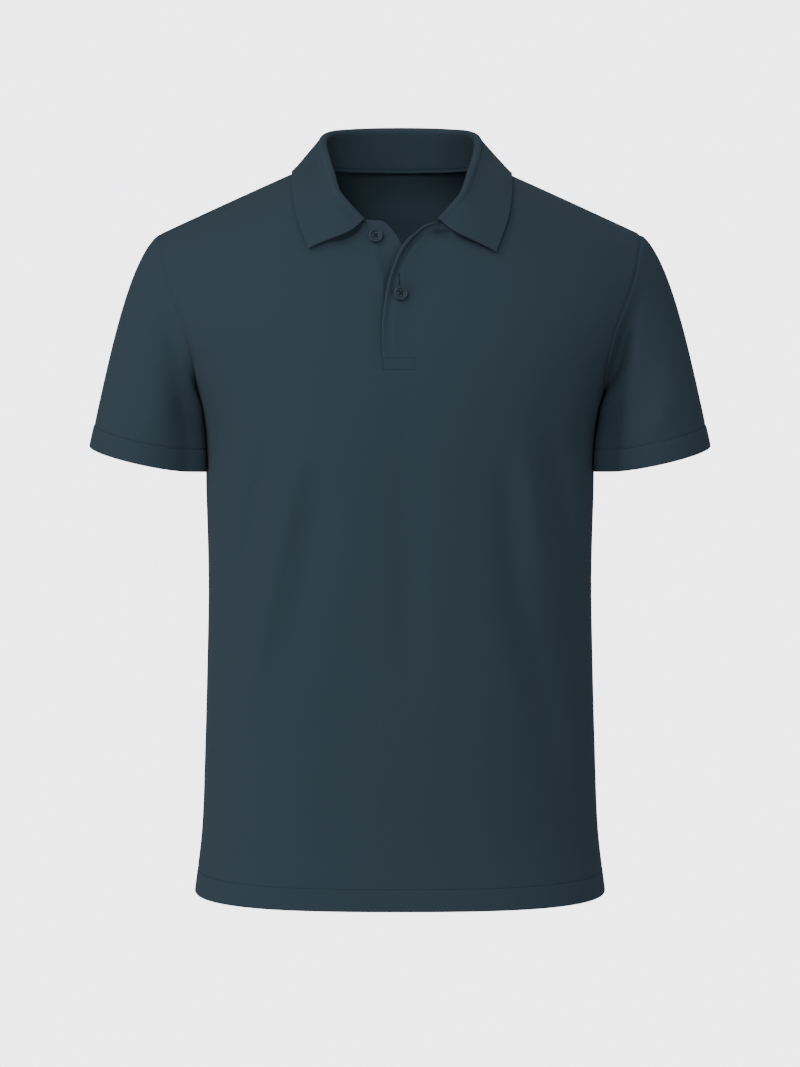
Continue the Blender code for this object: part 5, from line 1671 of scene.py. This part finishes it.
def cross_thread(name, seat):
    """Two strands over each diagonal of the holes."""
    places = np.array([(a * HOLE_SPREAD, b * HOLE_SPREAD, CROSS_UP) for a, b in HOLES])
    strands, shift = [], np.array([CROSS_SIDE, CROSS_SIDE, 0])
    for first, second, away in CROSSES:
        for step in (-1, 1):
            strands.append([places[hole] + shift * away * step for hole in (first, second)])
    strands = np.array(strands)
    ups = [(0, 0, 1)] * len(strands)
    thread = thread_mesh("thread_" + name, strands[:, 0], strands[:, 1], ups, CROSS_THREAD, CROSS_SAG)
    thread.matrix_world = seat
    return thread


print("strands on a button:", 2 * len(CROSSES))

# %% Build the buttons
BUTTON_LIFT = 0.0011
BUTTONS = {
    "lower": (STRIP, STRIP_NORMALS, 0.0006, -0.1182),
    "top": (PLACKET_POINTS, PLACKET_NORMALS, -0.0226, -0.0659),
}


def seat_on(points, normals, x, z):
    """A button's place on a grid of points: its x axis level, its z axis away from the cloth."""
    near = np.argmin((points[..., 0] - x) ** 2 + (points[..., 2] - z) ** 2)
    i, j = np.unravel_index(near, points.shape[:2])
    up = normals[i, j]
    y = points[i, j, 1] - (up[0] * (x - points[i, j, 0]) + up[2] * (z - points[i, j, 2])) / up[1]
    side = unit(np.cross((0, 0, 1.0), up))
    seat = Matrix.Translation(np.array([x, y, z]) + up * BUTTON_LIFT)
    return seat @ Matrix(np.stack([side, np.cross(up, side), up], axis=1)).to_4x4()


for name, place in BUTTONS.items():
    seat = seat_on(*place)
    button = turned_disc(name, seat)
    drill(button, name, seat)
    cross_thread(name, seat)
    print(button.name, "at", tuple(round(v, 4) for v in button.location))

# %% [markdown]
# ## The stitches
#
# A seam is held by thread, and thread is what makes it look sewn. One lockstitch machine sews a row of
# equal stitches with a small gap where the needle goes in. The hem has one row all round, the tape one
# along each edge, and the foot of the placket a box, which stops the slit from tearing further. The
# buttonhole is a close ladder of short bars.

# %% Rows of stitches
STITCH, STITCH_PITCH = 0.0019, 0.0026
STITCH_THREAD, TAPE_THREAD, BOX_THREAD = 0.00020, 0.00042, 0.00022  # the thread's radius
STITCH_LIFT, STITCH_SAG = 0.00008, 0.00018


def read_line(values, along, at):
    """The values of a line's points, read at other distances along it."""
    return np.stack([np.interp(at, along, values[:, k]) for k in range(3)], axis=1)


def stitch_row(points, normals):
    """Starts, ends and upward directions of even stitches along a line on the cloth."""
    along = distances(points)
    count = max(int(round(along[-1] / STITCH_PITCH)), 1)
    middle = (np.arange(count) + 0.5) * along[-1] / count
    up = read_line(normals, along, middle)
    start, end = (read_line(points, along, middle + step * STITCH / 2) for step in (-1, 1))
    return start + up * STITCH_LIFT, end + up * STITCH_LIFT, up


def sew(name, rows, radius=STITCH_THREAD):
    """One object of all the stitches along several lines."""
    starts, ends, ups = (np.concatenate(parts) for parts in zip(*[stitch_row(*row) for row in rows]))
    made = thread_mesh("stitches_" + name, starts, ends, ups, radius, STITCH_SAG)
    print(made.name, "-", len(starts), "stitches")


panels = ((FRONT_POINTS, FRONT_NORMALS), (BACK_POINTS, BACK_NORMALS))
sew("hem", [(points[HEM_LINE], normals[HEM_LINE]) for points, normals in panels])
sew("tape", [(TAPE_POINTS[k], TAPE_NORMALS[k]) for k in (1, -2)], TAPE_THREAD)

# %% [markdown]
# ## The box and the buttonhole
#
# The box at the placket's foot runs along lines that are straight on the real shirt when it lies flat, so
# each side is drawn from corner to corner and laid on the curved cloth. The buttonhole's bars are laid
# the same way, one above the other. The two end bars are wider: they lock the slot.

# %% The box at the placket's foot
BOX = [
    (-0.0152, -0.1770),
    (0.0143, -0.1770),
    (0.0134, -0.1880),
    (-0.0152, -0.1880),
    (-0.0152, -0.1770),
]
BOX_STEPS = 12


def on_strip(x, z):
    """A seat on the front's strip."""
    return seat_on(STRIP, STRIP_NORMALS, x, z)


box = []
for (x0, z0), (x1, z1) in zip(BOX, BOX[1:]):
    t = np.linspace(0, 1, BOX_STEPS)
    seats = [on_strip(x, z) for x, z in zip(x0 + (x1 - x0) * t, z0 + (z1 - z0) * t)]
    ups = np.array([seat.to_3x3() @ Vector((0, 0, 1)) for seat in seats])
    box.append((np.array([seat.translation for seat in seats]) - ups * BUTTON_LIFT, ups))
sew("placket_box", box, BOX_THREAD)

# %% The buttonhole
SLOT_X, SLOT_TOP, SLOT_LOW = -0.0006, -0.0995, -0.1105
SLOT_PITCH, SLOT_WIDE, SLOT_THREAD = 0.00042, 0.0014, 0.00014
END_WIDER = 1.5

bars = [on_strip(SLOT_X, z) for z in np.arange(SLOT_LOW, SLOT_TOP, SLOT_PITCH)]
halves = [SLOT_WIDE / 2] * len(bars)
halves[0] = halves[-1] = SLOT_WIDE / 2 * END_WIDER
tips = []
for step in (-1, 1):
    tips.append([bar @ Vector((step * half, 0, -BUTTON_LIFT)) for bar, half in zip(bars, halves)])
ups = [bar.to_3x3() @ Vector((0, 0, 1)) for bar in bars]
thread_mesh("stitches_buttonhole", tips[0], tips[1], ups, SLOT_THREAD)
print("bars of the buttonhole:", len(bars))

# %% [markdown]
# ## The finish
#
# All the cloth is one dyed cotton. Cotton has no shine; it has a faint sheen at glancing angles, from
# loose fibres. Two bumps give its surface: rows of tiny knitted cells, laid by the UV map in metres, and
# a soft fuzz. Real loops would look the same from here and cost millions of faces. The colour wanders a
# little too, because dye never takes evenly.

# %% Nodes for knitted cells
CLOTH_COLOUR = (0.0305, 0.0482, 0.0630, 1)
RIB_COLOUR = (0.0312, 0.0490, 0.0640, 1)
# the thread's colour is partly its own and partly painted shade, darkened for the shade it lies in
THREAD_PAINTED_SHADE_COLOUR = (0.0080, 0.0180, 0.0270, 1)
BUTTON_COLOUR = (0.0230, 0.0390, 0.0510, 1)


def new_material(name):
    """A material with its node tree's nodes, links and main shader."""
    material = bpy.data.materials.new(name)
    material.use_nodes = True
    tree = material.node_tree
    return material, tree.nodes, tree.links, tree.nodes["Principled BSDF"]


def math_node(nodes, operation):
    """A Math node."""
    node = nodes.new("ShaderNodeMath")
    node.operation = operation
    return node


def knitted_cells(nodes, links, cell):
    """The product of two sine waves along the UV map, one period to the width and height of a cell."""
    grain = nodes.new("ShaderNodeUVMap")
    grain.uv_map = UV_NAME
    split = nodes.new("ShaderNodeSeparateXYZ")
    links.new(grain.outputs["UV"], split.inputs[0])
    waves = []
    for axis, size in zip("XY", cell):
        wave = math_node(nodes, "MULTIPLY")
        wave.inputs[1].default_value = 2 * math.pi / size
        sine = math_node(nodes, "SINE")
        links.new(split.outputs[axis], wave.inputs[0])
        links.new(wave.outputs[0], sine.inputs[0])
        waves.append(sine)
    cells = math_node(nodes, "MULTIPLY")
    links.new(waves[0].outputs[0], cells.inputs[0])
    links.new(waves[1].outputs[0], cells.inputs[1])
    return cells


print("the cloth's colour, linear:", CLOTH_COLOUR[:3])

# %% Nodes for fuzz and dye
FUZZ_SCALE, FUZZ_DETAIL = 700, 4
FUZZ_DEPTH, FUZZ_STRENGTH = 0.00012, 0.6
DYE_SCALE, DYE_DETAIL = 9, 5
DYE_SHARES, DYE_STOPS = (0.98, 1.02), (0.3, 0.7)


def noise(nodes, links, place, scale, detail):
    """Noise over the piece's own coordinates."""
    cloud = nodes.new("ShaderNodeTexNoise")
    cloud.inputs["Scale"].default_value = scale
    cloud.inputs["Detail"].default_value = detail
    links.new(place.outputs["Object"], cloud.inputs["Vector"])
    return cloud


def bumps(nodes, links, cells, fuzz, depth):
    """The knit's bump, with the soft bump of the fuzz on top of it."""
    knit, soft = nodes.new("ShaderNodeBump"), nodes.new("ShaderNodeBump")
    knit.inputs["Distance"].default_value = depth
    knit.inputs["Strength"].default_value = 1.0
    soft.inputs["Distance"].default_value = FUZZ_DEPTH
    soft.inputs["Strength"].default_value = FUZZ_STRENGTH
    links.new(cells.outputs[0], knit.inputs["Height"])
    links.new(fuzz.outputs["Fac"], soft.inputs["Height"])
    links.new(knit.outputs["Normal"], soft.inputs["Normal"])
    return soft


def uneven_dye(nodes, links, place, colour):
    """The colour, a hair darker and lighter in broad soft patches."""
    dye = noise(nodes, links, place, DYE_SCALE, DYE_DETAIL)
    ramp = nodes.new("ShaderNodeValToRGB")
    for stop, share, at in zip(ramp.color_ramp.elements, DYE_SHARES, DYE_STOPS):
        stop.position = at
        stop.color = (*(value * share for value in colour[:3]), 1)
    links.new(dye.outputs["Fac"], ramp.inputs["Fac"])
    return ramp


print("the dye wanders from %.2f to %.2f of the colour" % DYE_SHARES)

# %% Materials of the cloth
CLOTH_SPECULAR = 0.10
SHEEN, SHEEN_ROUGHNESS = 0.02, 0.45


def knit_material(name, colour, cell, depth, roughness=0.92):
    """Knitted cotton. cell is one knitted cell's width and height in metres, depth its bump's height."""
    material, nodes, links, shader = new_material(name)
    shader.inputs["Roughness"].default_value = roughness
    shader.inputs["Specular IOR Level"].default_value = CLOTH_SPECULAR
    shader.inputs["Sheen Weight"].default_value = SHEEN
    shader.inputs["Sheen Roughness"].default_value = SHEEN_ROUGHNESS
    cells = knitted_cells(nodes, links, cell)
    place = nodes.new("ShaderNodeTexCoord")
    fuzz = noise(nodes, links, place, FUZZ_SCALE, FUZZ_DETAIL)
    surface = bumps(nodes, links, cells, fuzz, depth)
    links.new(surface.outputs["Normal"], shader.inputs["Normal"])
    ramp = uneven_dye(nodes, links, place, colour)
    links.new(ramp.outputs["Color"], shader.inputs["Base Color"])
    return material


pique = knit_material("pique_cotton", CLOTH_COLOUR, (0.0011, 0.0008), 0.00004)
rib = knit_material("flat_knit", RIB_COLOUR, (0.0012, 0.0006), 0.00006, 0.94)
tape = knit_material("woven_tape", CLOTH_COLOUR, (0.0008, 0.0008), 0.00003, 0.9)
print("cloth:", ", ".join(material.name for material in (pique, rib, tape)))

# %% [markdown]
# ## Thread and buttons
#
# The thread is darker than the cloth: it is hard-twisted, and its colour also holds painted shade for the
# small shade that it lies in. The buttons are matt moulded plastic, dyed to match. Both are one colour all
# over, so it is set directly on the shader.

# %% Materials of the thread and the buttons
THREAD_ROUGHNESS, THREAD_SPECULAR = 0.7, 0.1
BUTTON_ROUGHNESS, BUTTON_SPECULAR = 0.45, 0.2

thread, _, _, shader = new_material("sewing_thread")
shader.inputs["Base Color"].default_value = THREAD_PAINTED_SHADE_COLOUR
shader.inputs["Roughness"].default_value = THREAD_ROUGHNESS
shader.inputs["Specular IOR Level"].default_value = THREAD_SPECULAR
plastic, _, _, shader = new_material("button_plastic")
shader.inputs["Base Color"].default_value = BUTTON_COLOUR
shader.inputs["Roughness"].default_value = BUTTON_ROUGHNESS
shader.inputs["Specular IOR Level"].default_value = BUTTON_SPECULAR
print("materials:", len(bpy.data.materials))

# %% [markdown]
# ## Materials, the body, and flat sizes
#
# Every new piece gets its material and rides on the shirt's one body. Where it stands in for a solid, that
# solid is hidden, and a slot is listed beside it. Each piece of cloth also has the flat size that it is
# cut to and what holds it listed, so that the cloth needed can be added up.

# %% Pieces and slots
thing = bpy.data.objects
PIECES = {  # the piece: the solid it stands in for, its slot and its material
    "cloth_front": ("front", "pique", pique),
    "cloth_back": ("back", "pique", pique),
    "cloth_sleeve_left": ("sleeve_left", "pique", pique),
    "cloth_sleeve_right": ("sleeve_right", "pique", pique),
    "cloth_cuff_left": ("cuff_left", "rib", rib),
    "cloth_cuff_right": ("cuff_right", "rib", rib),
    "cloth_collar": ("collar", "rib", rib),
    "cloth_facing": ("placket_facing", "pique", pique),
    "cloth_placket_under": ("placket_under", "pique", pique),
    "cloth_neck_tape": ("neck_tape", "tape", tape),
    "turned_button_lower": ("button_lower", "button", plastic),
    "turned_button_top": ("button_top", "button", plastic),
}
for name, (node, slot, material) in PIECES.items():
    piece = thing[name]
    piece.data.materials.append(material)
    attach(piece, "root")
    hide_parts(node)
print("pieces that stand in for a solid:", len(PIECES))

# %% The thread
sewn = [one for one in thing if one.name.startswith(("thread_", "stitches_"))]
for piece in sewn:
    piece.data.materials.append(thread)
    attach(piece, "root")
print("pieces of thread:", ", ".join(piece.name for piece in sewn))

# %% Flat sizes of the cloth
SHEETS = {  # the piece: its flat width and length, its cut area if it isn't all of that, what holds it
    "cloth_front": ((0.530, 0.725), 0.352, "hung"),
    "cloth_back": ((0.530, 0.745), 0.356, "hung"),
    "cloth_sleeve_left": ((0.410, 0.215), 0.0440, "hung"),
    "cloth_sleeve_right": ((0.410, 0.215), 0.0440, "hung"),
    "cloth_cuff_left": ((0.346, 0.027), None, "stretched"),
    "cloth_cuff_right": ((0.346, 0.027), None, "stretched"),
    "cloth_collar": ((0.470, 0.088), None, "folded"),
    "cloth_facing": ((0.036, 0.150), None, "folded"),
    "cloth_placket_under": ((0.034, 0.146), None, "laid"),
    "cloth_neck_tape": ((0.152, 0.010), 0.0009, "laid"),
}
for name, (flat, area, held) in SHEETS.items():
    side = sum(face.area for face in thing[name].data.polygons)
    print(name, "flat", flat, "one side %.4f m2" % side)
cut = sum(area or flat[0] * flat[1] for flat, area, _ in SHEETS.values())
print("cloth to cut: %.3f m2" % cut)
